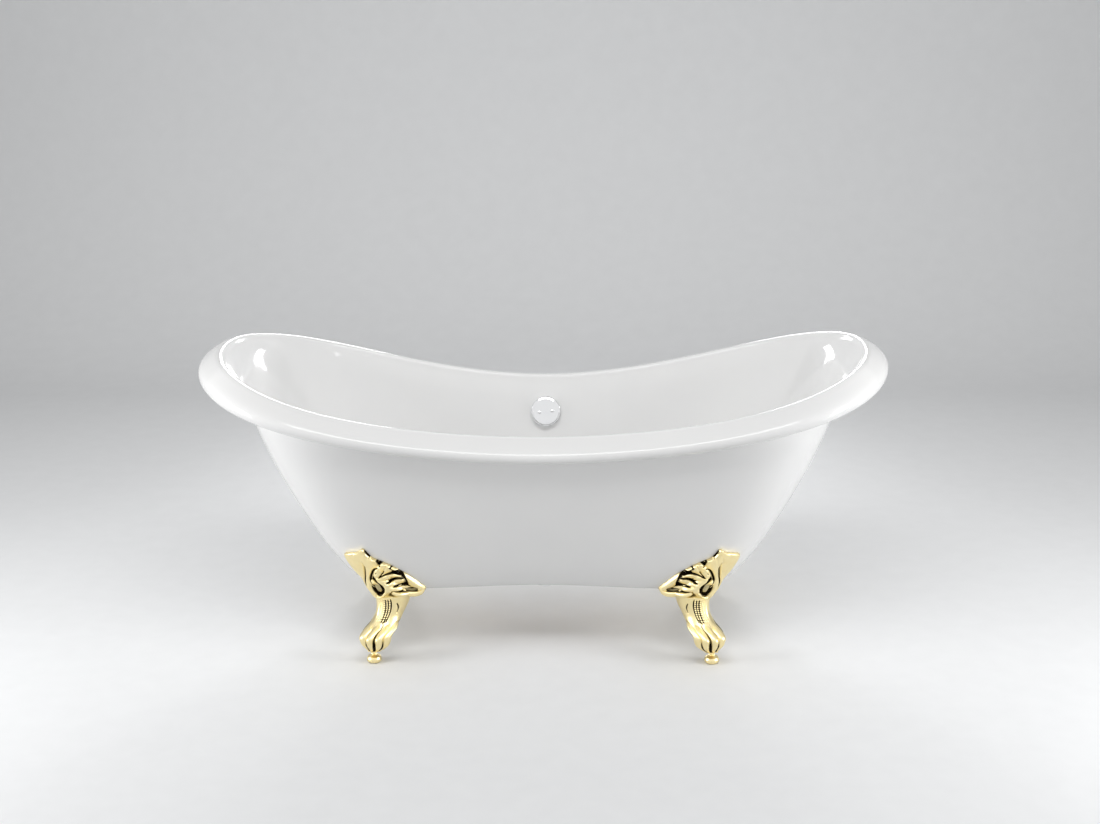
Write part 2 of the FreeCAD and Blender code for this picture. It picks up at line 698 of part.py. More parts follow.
def claw_feet():
    placed = at_foot(claw_foot(), "front_left")
    for name, (along, across) in FOOT_SIDES.items():
        shape = placed if along < 0 else placed.mirror(Vector(), Vector(1, 0, 0))
        shape = shape if across < 0 else shape.mirror(Vector(), Vector(0, 1, 0))
        formed(f"claw_foot_{name}", shape)


claw_feet()


# -----------------------------------------------------------------------------------------------------------
# Levelling gear: a brass insert pressed up into each paw, a threaded stud with its knob, and a floor glide
# that snaps into the knob and stays still while the knob turns
# -----------------------------------------------------------------------------------------------------------
KNOB_BOTTOM = 2.0
SOCKET_RADIUS = 13.3                    # of the knob's hollow, which the glide snaps into
SOCKET_TOP = 6.2
PEG_RADIUS = 4.0                        # of the glide's peg
PEG_TOP = 13.5


def levelling_gear(name):
    base, _ = foot_place(name)
    bore = size("stud_radius") + 0.25
    bottom = size("insert_bottom")
    turned(f"thread_insert_{name}", [
        (bore, bottom - 3), (11, bottom - 3), (11, bottom - 1), ("insert_radius", bottom - 1),
        ("insert_radius", "insert_top"), (bore, "insert_top")], base)
    peg_bore = PEG_RADIUS + 0.2
    turned(f"leveller_stud_{name}", [
        (SOCKET_RADIUS, KNOB_BOTTOM), (16, KNOB_BOTTOM), ("knob_radius", 5), ("knob_radius", 11), (16, 16),
        (10, 19), (7.5, "knob_top"), ("stud_radius", "knob_top"), ("stud_radius", size("stud_top") - 1.5),
        (3.5, "stud_top"), (0, "stud_top"), (0, PEG_TOP + 0.5), (peg_bore, PEG_TOP + 0.5),
        (peg_bore, SOCKET_TOP), (SOCKET_RADIUS, SOCKET_TOP)],
        base, rounds=[(size("knob_radius"), 5, 2), (16, 16, 3)])
    turned(f"floor_glide_{name}", [
        (0, 0), (12, 0), ("glide_radius", 1), ("glide_radius", SOCKET_TOP - 0.2),
        (PEG_RADIUS, SOCKET_TOP - 0.2), (PEG_RADIUS, PEG_TOP), (0, PEG_TOP)], base)


for foot in FOOT_SIDES:
    levelling_gear(foot)


# -----------------------------------------------------------------------------------------------------------
# Waste and push plug, under the middle of the basin's floor
# -----------------------------------------------------------------------------------------------------------
UPPER_SEAL = 1.5                        # thickness of the seal under the flange
LOWER_SEAL = 3.0                        # and of the one between the basin and the waste's body
TAIL_BOTTOM = 210.0                     # the flange's threaded tail ends there
SPIDER_LIFT = 2.0                       # of the bars in the tail, which carry the plug's hub
SPIDER_DEPTH = 6.0
SPIDER_REACH = 21.5
SPIDER_HALF_BAR = 2.5
HUB_RADIUS, HUB_BORE, HUB_DEPTH = 9.5, 6.0, 12.0
WASTE_BODY_RADIUS = 31.0
INLET_RADIUS, INLET_BORE = 13.0, 8.5    # of the spigots that the hose joins
INLET_END = 56.0
INLET_HEIGHT = 200.0
TAILPIECE_BORE = 17.0
TAILPIECE_RIM = 20.8
BARE_TAILPIECE = 28.0                   # its free length, which goes into a trap
NUT_FLATS, NUT_DEPTH, NUT_LIP = 54.0, 20.0, 4.0


def waste_seals():
    turned("waste_upper_seal", [
        ("tail_radius", 0), (33, 0), (33, UPPER_SEAL), ("tail_radius", UPPER_SEAL)],
        UP * size("basin_floor_height"))
    inside = size("tail_radius") + 0.3
    turned("waste_lower_seal", [
        (inside, 0), (32, 0), (32, LOWER_SEAL), (inside, LOWER_SEAL)], UP * (BOARD_TOP - LOWER_SEAL))


def waste_flange():
    """A domed flange on a threaded tail, with a cross of bars that holds the plug's hub."""
    lip = size("basin_floor_height") + UPPER_SEAL - TAIL_BOTTOM
    outside = size("tail_radius") - 0.3
    flange = turned("waste_flange", [
        ("tail_bore", 0), (outside, 0), (outside, lip), ("flange_radius", lip), ("flange_radius", lip + 1.5),
        (32, lip + 3.5), (23, lip + 3.5), ("tail_bore", lip + 1)], UP * TAIL_BOTTOM)
    for name, along, across in (("bar_along", SPIDER_REACH, SPIDER_HALF_BAR),
                                ("bar_across", SPIDER_HALF_BAR, SPIDER_REACH)):
        bar = new_sketch(flange, name, "XY_Plane", SPIDER_LIFT)
        closed_outline(bar, [(along, across), (-along, across), (-along, -across), (along, -across)])
        pad(flange, bar, SPIDER_DEPTH)
    hub = new_sketch(flange, "plug_hub", "XY_Plane", SPIDER_LIFT)
    circle_in(hub, HUB_RADIUS)
    pad(flange, hub, HUB_DEPTH)
    hub_hole = new_sketch(flange, "plug_hub_hole", "XY_Plane", SPIDER_LIFT)
    circle_in(hub_hole, HUB_BORE)
    pocket(flange, hub_hole, HUB_DEPTH)


def waste_body():
    """The cup under the floor: a threaded socket, a funnel to the outlet, and a spigot for the hose."""
    bottom = size("waste_bottom")
    top = BOARD_TOP - LOWER_SEAL - bottom
    body = turned("waste_body", [
        ("outlet_bore", 0), (21, 0), (21, 16), (WASTE_BODY_RADIUS, 32), (WASTE_BODY_RADIUS, top),
        ("tail_radius", top), ("tail_radius", 60), (21.5, 60), (21.5, 34), ("outlet_bore", 16)], UP * bottom)
    inlet = new_sketch(body, "hose_inlet", "XZ_Plane", -INLET_END)
    circle_in(inlet, INLET_RADIUS, up=INLET_HEIGHT - bottom)
    pad(body, inlet, INLET_END - 27.0)
    inlet_bore = new_sketch(body, "hose_inlet_bore", "XZ_Plane", -INLET_END)
    circle_in(inlet_bore, INLET_BORE, up=INLET_HEIGHT - bottom)
    pocket(body, inlet_bore, INLET_END - 15.0)


def tailpiece():
    """The chromed tube down to the trap.  Its rim hangs in a nut on the waste; a groove marks its free end."""
    seal_thickness = 2.0
    bottom = size("waste_bottom")
    top = bottom - seal_thickness - size("outlet_end")
    rim_bottom = top - seal_thickness
    turned("tailpiece", [
        (TAILPIECE_BORE, 0), ("outlet_radius", 0), ("outlet_radius", BARE_TAILPIECE), (18.4, BARE_TAILPIECE),
        (18.4, BARE_TAILPIECE + 2), (19.2, BARE_TAILPIECE + 2), (19.2, rim_bottom),
        (TAILPIECE_RIM, rim_bottom), (TAILPIECE_RIM, top), (TAILPIECE_BORE, top)], UP * size("outlet_end"))
    turned("tailpiece_seal", [
        (17.5, 0), (TAILPIECE_RIM, 0), (TAILPIECE_RIM, seal_thickness), (17.5, seal_thickness)],
        UP * (bottom - seal_thickness))
    grip = bottom - 2 * NUT_LIP
    nut = hexagon(NUT_FLATS, grip, grip + NUT_DEPTH).cut(tube(19.4, 0, grip - 1, grip + NUT_LIP + 1))
    formed("tailpiece_nut", nut.cut(tube(21.2, 0, grip + NUT_LIP, grip + NUT_DEPTH + 1)))


def plug():
    """A domed cap over the waste, on a stem that slides in a barrel screwed to the hub.  It is shown open."""
    open_at = size("basin_floor_height") + 5.0 + size("plug_travel")
    turned("plug_cap", [
        (0, 2), (24, 2), (24, 0), (29, 0), ("plug_radius", 2), ("plug_radius", 4), (26, 7), (14, 9),
        (0, 9.6)], UP * open_at)
    turned("plug_seal", [(12, 0), (19.5, 0), (19.5, 5), (12, 5)], UP * (open_at - 3))
    turned("plug_stem", [(0, 0), (4, 0), (4, 34), (11.9, 34), (11.9, 39), (0, 39)], UP * (open_at - 37))
    barrel = HUB_BORE - 0.05
    turned("plug_cartridge", [
        (0, 0), (barrel, 0), (barrel, 34), (8.5, 34), (8.5, 36), (4.25, 36), (4.25, 3), (0, 3)], UP * 190)


waste_seals()
waste_flange()
waste_body()
tailpiece()
plug()


# -----------------------------------------------------------------------------------------------------------
# Overflow: a chrome cap on the basin's back wall, held by two screws to an elbow behind it, and the hose down.
# Sizes along the overflow's axis count from the wall's inner face, out of the basin.
# -----------------------------------------------------------------------------------------------------------
WALL_STAND_OFF = 1.5
CAP_FRONT = -size("overflow_cap_depth") - WALL_STAND_OFF
SCREW_HOLE, SCREW_SHANK, SCREW_HEAD, SCREW_END = 2.8, 2.5, 5.3, 16.0
GASKET_BORE = 25.0
ELBOW_START, ELBOW_END = 10.0, 35.0
ELBOW_FLANGE, ELBOW_BARREL, ELBOW_CHAMBER = 31.0, 23.0, 20.0
SPIGOT_START = 24.0
HOSE_TAKE_OFF = 45.0                    # how far down the spigot the hose begins
HOSE_BEND = 45.0
HOSE_FALL = Vector(0, -0.298, -0.9546)  # the way down the cavity between the shells


def on_overflow_axis(shape):
    """Places a shape whose Z runs out of the basin from the wall's inner face."""
    placed = shape.copy()
    placed.Placement = Placement(seat, OVERFLOW_TURN) * shape.Placement
    return placed


def screw_places():
    tilt = math.radians(size("overflow_screw_tilt"))
    reach = size("overflow_screw_spread")
    return [Vector(side * reach * math.cos(tilt), -side * reach * math.sin(tilt), 0) for side in (-1, 1)]


def overflow_cover():
    """A shallow chromed cup, open towards the wall, with a slot at the bottom that lets the water in."""
    cover = turned("overflow_cover", [
        (0, 0), (34.5, 0), (38, 1.2), ("overflow_cap_radius", 4.5),
        ("overflow_cap_radius", "overflow_cap_depth"), (38, "overflow_cap_depth"), (38, 6), (36, 3.2),
        (0, 2.2)], seat + away_from_basin * CAP_FRONT, OVERFLOW_TURN)
    drilled = new_sketch(cover, "cover_screw_holes", "XY_Plane")
    for place in screw_places():
        circle_in(drilled, SCREW_HOLE, across=place.x, up=place.y)
    pocket(cover, drilled, 3.0)
    inlet = new_sketch(cover, "cover_inlet", "XY_Plane", 7.0)
    closed_outline(inlet, [(16, 30), (16, 45), (-16, 45), (-16, 30)])
    pocket(cover, inlet, 7.0)


def overflow_screws():
    head = Part.makeSphere(6.6, UP * (CAP_FRONT + 4.0))
    head = head.common(Part.makeCylinder(SCREW_HEAD, 4.0, UP * (CAP_FRONT - 4.0)))
    shank = Part.makeCylinder(SCREW_SHANK, SCREW_END - CAP_FRONT, UP * CAP_FRONT)
    screw = head.fuse(shank).removeSplitter()
    grouped("overflow_screws", [on_overflow_axis(screw.translated(place)) for place in screw_places()])


def overflow_gaskets():
    """One each side of the basin's wall, with the wall's own curve on the face that touches it."""
    wall = doc.getObject("inner_shell").Shape
    front = on_overflow_axis(tube(33, GASKET_BORE, 0.1 - WALL_STAND_OFF, 2)).cut(wall)
    back = on_overflow_axis(tube(ELBOW_FLANGE, GASKET_BORE, 3, ELBOW_START)).cut(wall)
    formed("overflow_front_gasket", min(front.Solids, key=lambda solid: solid.CenterOfMass.y))
    formed("overflow_back_gasket", max(back.Solids, key=lambda solid: solid.CenterOfMass.y))


def overflow_elbow():
    """A flanged cup behind the wall, with two bosses for the screws and a spigot down the cavity."""
    outside = tube(ELBOW_FLANGE, 0, ELBOW_START, 14).fuse(tube(ELBOW_BARREL, 0, ELBOW_START, ELBOW_END))
    bosses = [Part.makeCylinder(4.5, 9, place + UP * ELBOW_START) for place in screw_places()]
    chamber = tube(ELBOW_CHAMBER, 0, ELBOW_START - 1, ELBOW_END - 3).cut(Part.makeCompound(bosses))
    top = seat + away_from_basin * SPIGOT_START
    spigot = Part.makeCylinder(INLET_RADIUS, HOSE_TAKE_OFF, top, HOSE_FALL)
    bore = Part.makeCylinder(INLET_BORE, HOSE_TAKE_OFF + 2, top, HOSE_FALL)
    threads = [on_overflow_axis(Part.makeCylinder(SCREW_SHANK + 0.05, 9, place + UP * 8))
               for place in screw_places()]
    elbow = on_overflow_axis(outside).fuse(spigot).cut([on_overflow_axis(chamber), bore]).cut(threads)
    formed("overflow_elbow", elbow.removeSplitter())


def hose_route():
    """Down the cavity from the spigot's end, then in level to the waste, on one arc."""
    start = seat + away_from_basin * SPIGOT_START + HOSE_FALL * HOSE_TAKE_OFF
    corner = start + HOSE_FALL * ((start.z - INLET_HEIGHT) / -HOSE_FALL.z)
    end = Vector(0, INLET_END, INLET_HEIGHT)
    level = (end - corner).normalize()
    turn = math.acos(HOSE_FALL.dot(level))
    reach = HOSE_BEND * math.tan(turn / 2)
    first, last = corner - HOSE_FALL * reach, corner + level * reach
    middle = corner + (level - HOSE_FALL).normalize() * (HOSE_BEND / math.cos(turn / 2) - HOSE_BEND)
    runs = [Part.LineSegment(start, first), Part.Arc(first, middle, last), Part.LineSegment(last, end)]
    return start, end, Part.Wire([run.toShape() for run in runs])


def swept(route, radius):
    start = route.Edges[0].valueAt(route.Edges[0].FirstParameter)
    ahead = route.Edges[0].tangentAt(route.Edges[0].FirstParameter)
    return route.makePipeShell([Part.Wire([Part.Circle(start, ahead, radius).toShape()])], True, False)


def overflow_hose():
    """The hose, and the two nuts that clamp it to the elbow's spigot and the waste's."""
    start, end, route = hose_route()
    formed("overflow_hose", swept(route, size("hose_radius")).cut(swept(route, INLET_BORE)))
    nut = hexagon(34.0, -12, 8).cut(tube(INLET_RADIUS + 0.15, 0, -13, 0))
    nut = nut.cut(tube(size("hose_radius") + 0.15, 0, -1, 9))
    nuts = []
    for place, along in ((start, HOSE_FALL), (end, Vector(0, 1, 0))):
        clamping = nut.copy()
        clamping.Placement = Placement(place, Rotation(UP, along))
        nuts.append(clamping)
    grouped("hose_nuts", nuts)


overflow_cover()
overflow_screws()
overflow_gaskets()
overflow_elbow()
overflow_hose()


# -----------------------------------------------------------------------------------------------------------
# Checks, and one file for each sub-part
# -----------------------------------------------------------------------------------------------------------
def sub_parts():
    return [item for item in doc.Objects if item.TypeId in ("Part::Feature", "PartDesign::Body")]


def check():
    doc.recompute()
    for item in doc.Objects:
        if "Invalid" in item.State or "Error" in item.State:
            raise RuntimeError(f"{item.Label} failed: {item.State}")
    for item in sub_parts():
        if item.Shape.isNull() or not item.Shape.isValid() or not item.Shape.Solids:
            raise RuntimeError(f"{item.Label} isn't a sound solid")


check()
os.makedirs("parts", exist_ok=True)
for item in sub_parts():
    item.Shape.exportStep(f"parts/{item.Label}.step")
print(f"{len(sub_parts())} sub-parts written")
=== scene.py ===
"""A double-slipper clawfoot bathtub: acrylic shells on four gilt claw feet, with its waste and overflow."""
import bpy
import math
import numpy as np
from mathutils import Matrix, Quaternion, Vector
from mathutils.bvhtree import BVHTree


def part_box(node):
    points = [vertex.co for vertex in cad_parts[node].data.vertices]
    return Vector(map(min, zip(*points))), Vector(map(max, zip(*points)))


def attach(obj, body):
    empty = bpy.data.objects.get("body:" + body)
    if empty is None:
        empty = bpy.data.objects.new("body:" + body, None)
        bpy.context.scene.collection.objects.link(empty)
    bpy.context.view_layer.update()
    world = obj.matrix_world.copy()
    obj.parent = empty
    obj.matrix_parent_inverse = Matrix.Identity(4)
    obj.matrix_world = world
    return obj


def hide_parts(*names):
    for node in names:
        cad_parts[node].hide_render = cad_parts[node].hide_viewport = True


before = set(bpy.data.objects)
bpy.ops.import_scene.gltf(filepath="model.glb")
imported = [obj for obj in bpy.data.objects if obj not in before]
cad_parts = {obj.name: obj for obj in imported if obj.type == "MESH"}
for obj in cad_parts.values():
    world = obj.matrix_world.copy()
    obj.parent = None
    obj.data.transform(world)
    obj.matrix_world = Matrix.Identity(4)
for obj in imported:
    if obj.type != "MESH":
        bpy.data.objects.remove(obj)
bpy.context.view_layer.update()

# ---------------------------------------------------------------------------------------------------------
# The studio.  A pale matt paper sweep, a tall softbox beyond each end of the tub, a wide one high up behind
# it, another in front, and two strips behind, which the raised ends mirror.  The camera stands a little
# above the rim.  Places here are in metres.
# ---------------------------------------------------------------------------------------------------------
MM = 0.001
CAMERA_TARGET = Vector((0, 0, 0.612))       # the low middle of the rim
CAMERA_DISTANCE = 4.3
CAMERA_RISE = math.radians(16.4)
CAMERA_SWING = math.radians(1.9)
CAMERA_ROLL = math.radians(-0.64)
CAMERA_LENS = 55.1
FRAMING = (0.0066, -0.0092)                 # the picture's centre beside the target, in picture widths

toward_camera = Vector((math.sin(CAMERA_SWING) * math.cos(CAMERA_RISE),
                        -math.cos(CAMERA_SWING) * math.cos(CAMERA_RISE), math.sin(CAMERA_RISE)))


def new_object(name, data):
    """An object that shows that data, linked into the scene."""
    made = bpy.data.objects.new(name, data)
    bpy.context.scene.collection.objects.link(made)
    return made


camera = new_object("camera", bpy.data.cameras.new("camera"))
camera.location = CAMERA_TARGET + toward_camera * CAMERA_DISTANCE
camera.rotation_mode = "QUATERNION"
camera.rotation_quaternion = (-toward_camera).to_track_quat("-Z", "Y") @ Quaternion((0, 0, 1), CAMERA_ROLL)
camera.data.lens = CAMERA_LENS
camera.data.shift_x, camera.data.shift_y = FRAMING
bpy.context.scene.camera = camera
bpy.context.scene.view_settings.view_transform = "Standard"


def linear(code):
    """A colour written as six sRGB hex digits, as the linear values that a shader takes."""
    shares = [int(code[i:i + 2], 16) / 255 for i in (0, 2, 4)]
    return [s / 12.92 if s <= 0.04045 else ((s + 0.055) / 1.055) ** 2.4 for s in shares] + [1.0]


def softbox(name, place, aim, wide, high, power, spread=180):
    """A soft lamp that faces its aim and can't be seen itself, with sides in metres and power in watts."""
    lamp = bpy.data.lights.new(name, "AREA")
    lamp.shape = "RECTANGLE"
    lamp.size, lamp.size_y, lamp.energy = wide, high, power
    lamp.spread = math.radians(spread)
    box = new_object(name, lamp)
    box.visible_camera = False
    box.location = place
    box.rotation_mode = "QUATERNION"
    box.rotation_quaternion = (Vector(aim) - Vector(place)).to_track_quat("-Z", "Y")


softbox("back_softbox", (0, 2.3, 2.9), (0, 0, 0.5), 3.2, 1.0, 8)
softbox("front_softbox", (0, -2.1, 3.8), (0, 0.1, 0.4), 3.0, 1.2, 55)
for name, side in (("left", -1), ("right", 1)):
    softbox(f"{name}_softbox", (side * 2.8, -0.95, 0.9), (side * 0.6, 0, 0.4), 1.0, 1.5, 36)
    softbox(f"{name}_strip_softbox", (side * 0.68, 2.6, 1.32), (-side * 0.7, 0, 0.68), 0.45, 0.9, 7, 110)


def add_node(material, kind, settings=None, **links):
    """One node of a material.  Settings are its properties.  Links are its inputs, by name or by number as in
    _6, and each is a value or another node's output."""
    node = material.node_tree.nodes.new(kind)
    for name, value in (settings or {}).items():
        setattr(node, name, value)
    for name, value in links.items():
        socket = node.inputs[int(name[1:])] if name[1:].isdigit() else node.inputs[name.replace("_", " ")]
        if isinstance(value, bpy.types.NodeSocket):
            material.node_tree.links.new(value, socket)
        else:
            socket.default_value = value
    return node


def looked_at(material):
    """1 where the camera or a shiny surface looks at the material, and 0 where only its light arrives."""
    ray = add_node(material, "ShaderNodeLightPath")
    bright = add_node(material, "ShaderNodeMath", {"operation": "MAXIMUM"}, _0=ray.outputs["Is Glossy Ray"],
                      _1=ray.outputs["Is Camera Ray"])
    return add_node(material, "ShaderNodeMath", {"operation": "MAXIMUM"}, _0=bright.outputs[0],
                    _1=ray.outputs["Is Transmission Ray"]).outputs[0]


# The air is a soft even light; the camera and bright surfaces see it as the pale walls of the studio.
air = bpy.data.worlds.new("studio_air")
bpy.context.scene.world = air
air.use_nodes = True
air.node_tree.nodes.clear()
even_light = add_node(air, "ShaderNodeBackground", Color=linear("CBCBCB"), Strength=0.54)
pale_walls = add_node(air, "ShaderNodeBackground", Color=linear("F0F0F0"), Strength=1.0)
walls = add_node(air, "ShaderNodeMixShader", _0=looked_at(air), _1=even_light.outputs[0],
                 _2=pale_walls.outputs[0])
add_node(air, "ShaderNodeOutputWorld", Surface=walls.outputs[0])


def new_material(name):
    material = bpy.data.materials.new(name)
    material.use_nodes = True
    material.node_tree.nodes.clear()
    return material


def studio_paper():
    """Matt seamless paper: a pale neutral grey with a faint mottle of its fibres.  It throws back less light
    on the tub than it shows."""
    paper = new_material("studio_paper")
    place = add_node(paper, "ShaderNodeTexCoord").outputs["Object"]
    fibres = add_node(paper, "ShaderNodeTexNoise", Vector=place, Scale=1 / (60 * MM), Detail=2.0)
    tone = add_node(paper, "ShaderNodeMix", {"data_type": "RGBA"}, _0=fibres.outputs["Fac"],
                    _6=linear("E9EAEB"), _7=linear("EEEFF0"))
    seen = add_node(paper, "ShaderNodeMix", {"data_type": "RGBA"}, _0=looked_at(paper),
                    _6=linear("C6C7C8"), _7=tone.outputs[2])
    shader = add_node(paper, "ShaderNodeBsdfPrincipled", Base_Color=seen.outputs[2], Roughness=0.9)
    add_node(paper, "ShaderNodeOutputMaterial", Surface=shader.outputs[0])
    return paper


SWEEP_WIDTH = 9.0                           # to each side
SWEEP_FRONT = -6.0
SWEEP_BACK = 2.2
SWEEP_BEND = 1.2
SWEEP_TOP = 4.0
SWEEP_STEPS = 12                            # facets of its bend


def paper_sweep():
    """The floor, which turns up in a quarter circle into the backdrop."""
    profile = [(SWEEP_FRONT, 0.0)]
    for step in range(SWEEP_STEPS + 1):
        turn = math.radians(90 * step / SWEEP_STEPS)
        profile.append((SWEEP_BACK + SWEEP_BEND * math.sin(turn), SWEEP_BEND * (1 - math.cos(turn))))
    profile.append((SWEEP_BACK + SWEEP_BEND, SWEEP_TOP))
    points = [(side * SWEEP_WIDTH, y, z) for y, z in profile for side in (-1, 1)]
    faces = [(2 * i, 2 * i + 1, 2 * i + 3, 2 * i + 2) for i in range(len(profile) - 1)]
    mesh = bpy.data.meshes.new("paper_sweep")
    mesh.from_pydata(points, [], faces)
    mesh.polygons.foreach_set("use_smooth", [True] * len(mesh.polygons))
    mesh.materials.append(studio_paper())
    new_object("paper_sweep", mesh)


paper_sweep()

# ---------------------------------------------------------------------------------------------------------
# Inner and outer shell.  Each is a 4 to 5 mm sheet of cast acrylic, drawn down over a mould in one piece and
# backed with resin.  The inner one's edge rolls over into the fat rim, and the outer one is bonded up inside
# the roll.  Places from here on are in millimetres, until a mesh is made.
# ---------------------------------------------------------------------------------------------------------
RING_POINTS = 40
CREST = (810.0, 283.0)                      # half length and half width of the rim's crest, in mm
CREST_MID, CREST_END = 608.0, 764.0         # the crest's height amidships and at the ends
CREST_SWEEP = 1.85                          # how the crest climbs: a parabola is 2
WAIST_SWELL, WAIST_RETURN = 0.72, -0.40
PLAN_SQUARENESS, PLAN_ROUNDNESS = 3.81, 2.27
RIM_LEAN = math.radians(16.0)
INNER_THICKNESS, OUTER_THICKNESS = 5.0, 4.0
BASIN_FLOOR = (400.0, 122.0)
BASIN_FLOOR_HEIGHT = 228.0
UNDERSIDE = (507.0, 180.0)
UNDERSIDE_HEIGHT = 183.0
SKIRT_TOP = (783.0, 306.0)
SKIRT_FLANGE = (130.0, 95.0)
WASTE_HOLE_RADIUS = 26.0
# the rim's section, out from the crest and up from it: crest, slope, bulge and lip.  It is fuller at the ends
RIM_SECTION = [(-9.0, -20.0), (-8.5, -9.0), (-5.0, -2.0), (2.0, 0.6), (13.0, -3.0), (31.0, -9.5),
               (50.0, -17.5), (61.5, -25.0), (66.2, -34.0), (63.5, -47.0), (51.0, -54.0)]
END_SECTION = [(-9.0, -20.0), (-6.0, -9.0), (0.0, -0.5), (9.0, 2.5), (20.0, 0.5), (36.0, -3.5),
               (52.0, -9.0), (61.8, -17.0), (66.0, -29.0), (63.4, -46.0), (52.0, -54.0)]
WALL_TOP = (-22.0, -48.0)
LIP_UNDERSIDE = (38.0, -54.0)
# shares of the way from a wall's top to its foot: in plan, and in height
BASIN_WALL = [(1.0, 1.0), (0.86, 1.0), (0.68, 0.95), (0.50, 0.74), (0.33, 0.50), (0.17, 0.27), (0.05, 0.10)]
SKIRT_WALL = [(0.975, 1.0), (0.88, 0.955), (0.72, 0.845), (0.54, 0.68), (0.375, 0.515), (0.235, 0.352),
              (0.11, 0.18)]
END_PULL = 22.0                             # how far the walls are drawn in under the rim at the tub's ends
OVERFLOW_HOLE_RADIUS = 24.0
OVERFLOW_TILT = math.radians(-105.6)        # from upright to square with the back wall
SHEET_SMOOTHING = 3                         # rounds of subdivision
UP = Vector((0, 0, 1))


def ring_angle(i):
    return 2 * math.pi * i / RING_POINTS


def plan_ring(half_length, half_width, height):
    """Points round the tub's waisted oval plan at one height."""
    points = []
    for i in range(RING_POINTS):
        along = math.cos(ring_angle(i))
        share = abs(along)
        swell = 1 + WAIST_SWELL * share ** 2 + WAIST_RETURN * share ** 4
        closing = max(0.0, 1 - share ** PLAN_SQUARENESS) ** (1 / PLAN_ROUNDNESS)
        across = math.copysign(half_width * swell * closing, math.sin(ring_angle(i)))
        points.append(Vector((half_length * along, across, height)))
    return points


def drawn_in(ring):
    """The ring with its two ends pulled in under the rim."""
    points = []
    for i, point in enumerate(ring):
        pull = END_PULL * abs(math.cos(ring_angle(i))) ** 8
        points.append(Vector((point.x - math.copysign(pull, point.x), point.y, point.z)))
    return points


def outward(points, i):
    along = points[(i + 1) % RING_POINTS] - points[i - 1]
    return Vector((along.y, -along.x, 0)).normalized()


def between(ring_a, ring_b, inward, drop):
    """A ring part of the way from a to b, by a share in plan and a share in height."""
    return [Vector((a.x + (b.x - a.x) * inward, a.y + (b.y - a.y) * inward, a.z + (b.z - a.z) * drop))
            for a, b in zip(ring_a, ring_b)]


crest = [point + UP * (CREST_END - CREST_MID) * abs(math.cos(ring_angle(i))) ** CREST_SWEEP
         for i, point in enumerate(plan_ring(*CREST, CREST_MID))]


def rim_ring(middle, end):
    """The ring through one place of the rim's section, which is given amidships and at the leaning ends."""
    points = []
    for i, top in enumerate(crest):
        share = abs(math.cos(ring_angle(i))) ** 3
        lean = RIM_LEAN * share
        out, up = (a + (b - a) * share for a, b in zip(middle, end))
        away = out * math.cos(lean) + up * math.sin(lean)
        rise = up * math.cos(lean) - out * math.sin(lean)
        points.append(top + outward(crest, i) * away + UP * rise)
    return points


def poles_through(points):
    """The corners of a cage whose smoothed ring passes through the points."""
    return [points[i] * (4 / 3) - (points[i - 1] + points[(i + 1) % RING_POINTS]) * (1 / 6)
            for i in range(RING_POINTS)]


def solid_mesh(name, points, faces):
    """A smooth-shaded object from points in millimetres."""
    mesh = bpy.data.meshes.new(name)
    mesh.from_pydata([Vector(point) * MM for point in points], [], faces)
    mesh.polygons.foreach_set("use_smooth", [True] * len(mesh.polygons))
    return new_object(name, mesh)


def settle(made, sharp=40):
    """Applies an object's modifiers to its mesh and keeps edges sharper than that angle crisp."""
    graph = bpy.context.evaluated_depsgraph_get()
    mesh = bpy.data.meshes.new_from_object(made.evaluated_get(graph))
    made.modifiers.clear()
    made.data = mesh
    mesh.set_sharp_from_angle(angle=math.radians(sharp))
    return made


def grid_faces(rows, columns):
    """Quads between rows of points that each close on themselves."""
    return [(r * columns + c, r * columns + (c + 1) % columns,
             (r + 1) * columns + (c + 1) % columns, (r + 1) * columns + c)
            for r in range(rows - 1) for c in range(columns)]


def drawn_sheet(name, rows, thickness, holes=()):
    """A sheet of even thickness, smoothed over rows of rings.  It thickens away from the side that shows."""
    points = [point for row in rows for point in poles_through(row)]
    sheet = solid_mesh(name, points, grid_faces(len(rows), RING_POINTS))
    smooth = sheet.modifiers.new("smooth", "SUBSURF")
    smooth.levels = smooth.render_levels = SHEET_SMOOTHING
    thick = sheet.modifiers.new("thick", "SOLIDIFY")
    thick.thickness = thickness * MM
    thick.offset = -1
    for hole in holes:
        cut = sheet.modifiers.new("cut", "BOOLEAN")
        cut.operation = "DIFFERENCE"
        cut.object = hole
    settle(sheet)
    for hole in holes:
        bpy.data.objects.remove(hole)
    return sheet


def white_acrylic():
    """Cast acrylic, polished by the mould: a clean white under a deep gloss, with a ripple barely felt."""
    acrylic = new_material("white_acrylic")
    place = add_node(acrylic, "ShaderNodeTexCoord").outputs["Object"]
    cloud = add_node(acrylic, "ShaderNodeTexNoise", Vector=place, Scale=1 / (140 * MM), Detail=2.0)
    tone = add_node(acrylic, "ShaderNodeMix", {"data_type": "RGBA"}, _0=cloud.outputs["Fac"],
                    _6=linear("F3F3F3"), _7=linear("F7F7F6"))
    wave = add_node(acrylic, "ShaderNodeTexNoise", Vector=place, Scale=1 / (90 * MM), Detail=0.0)
    ripple = add_node(acrylic, "ShaderNodeBump", Height=wave.outputs["Fac"], Distance=0.12 * MM, Strength=1.0)
    haze = add_node(acrylic, "ShaderNodeTexNoise", Vector=place, Scale=1 / (35 * MM), Detail=2.0)
    polish = add_node(acrylic, "ShaderNodeMapRange", _0=haze.outputs["Fac"], _1=0.3, _2=0.7, _3=0.06, _4=0.10)
    shader = add_node(acrylic, "ShaderNodeBsdfPrincipled", Base_Color=tone.outputs[2], IOR=1.49,
                      Roughness=polish.outputs[0], Normal=ripple.outputs["Normal"])
    add_node(acrylic, "ShaderNodeOutputMaterial", Surface=shader.outputs[0])
    return acrylic


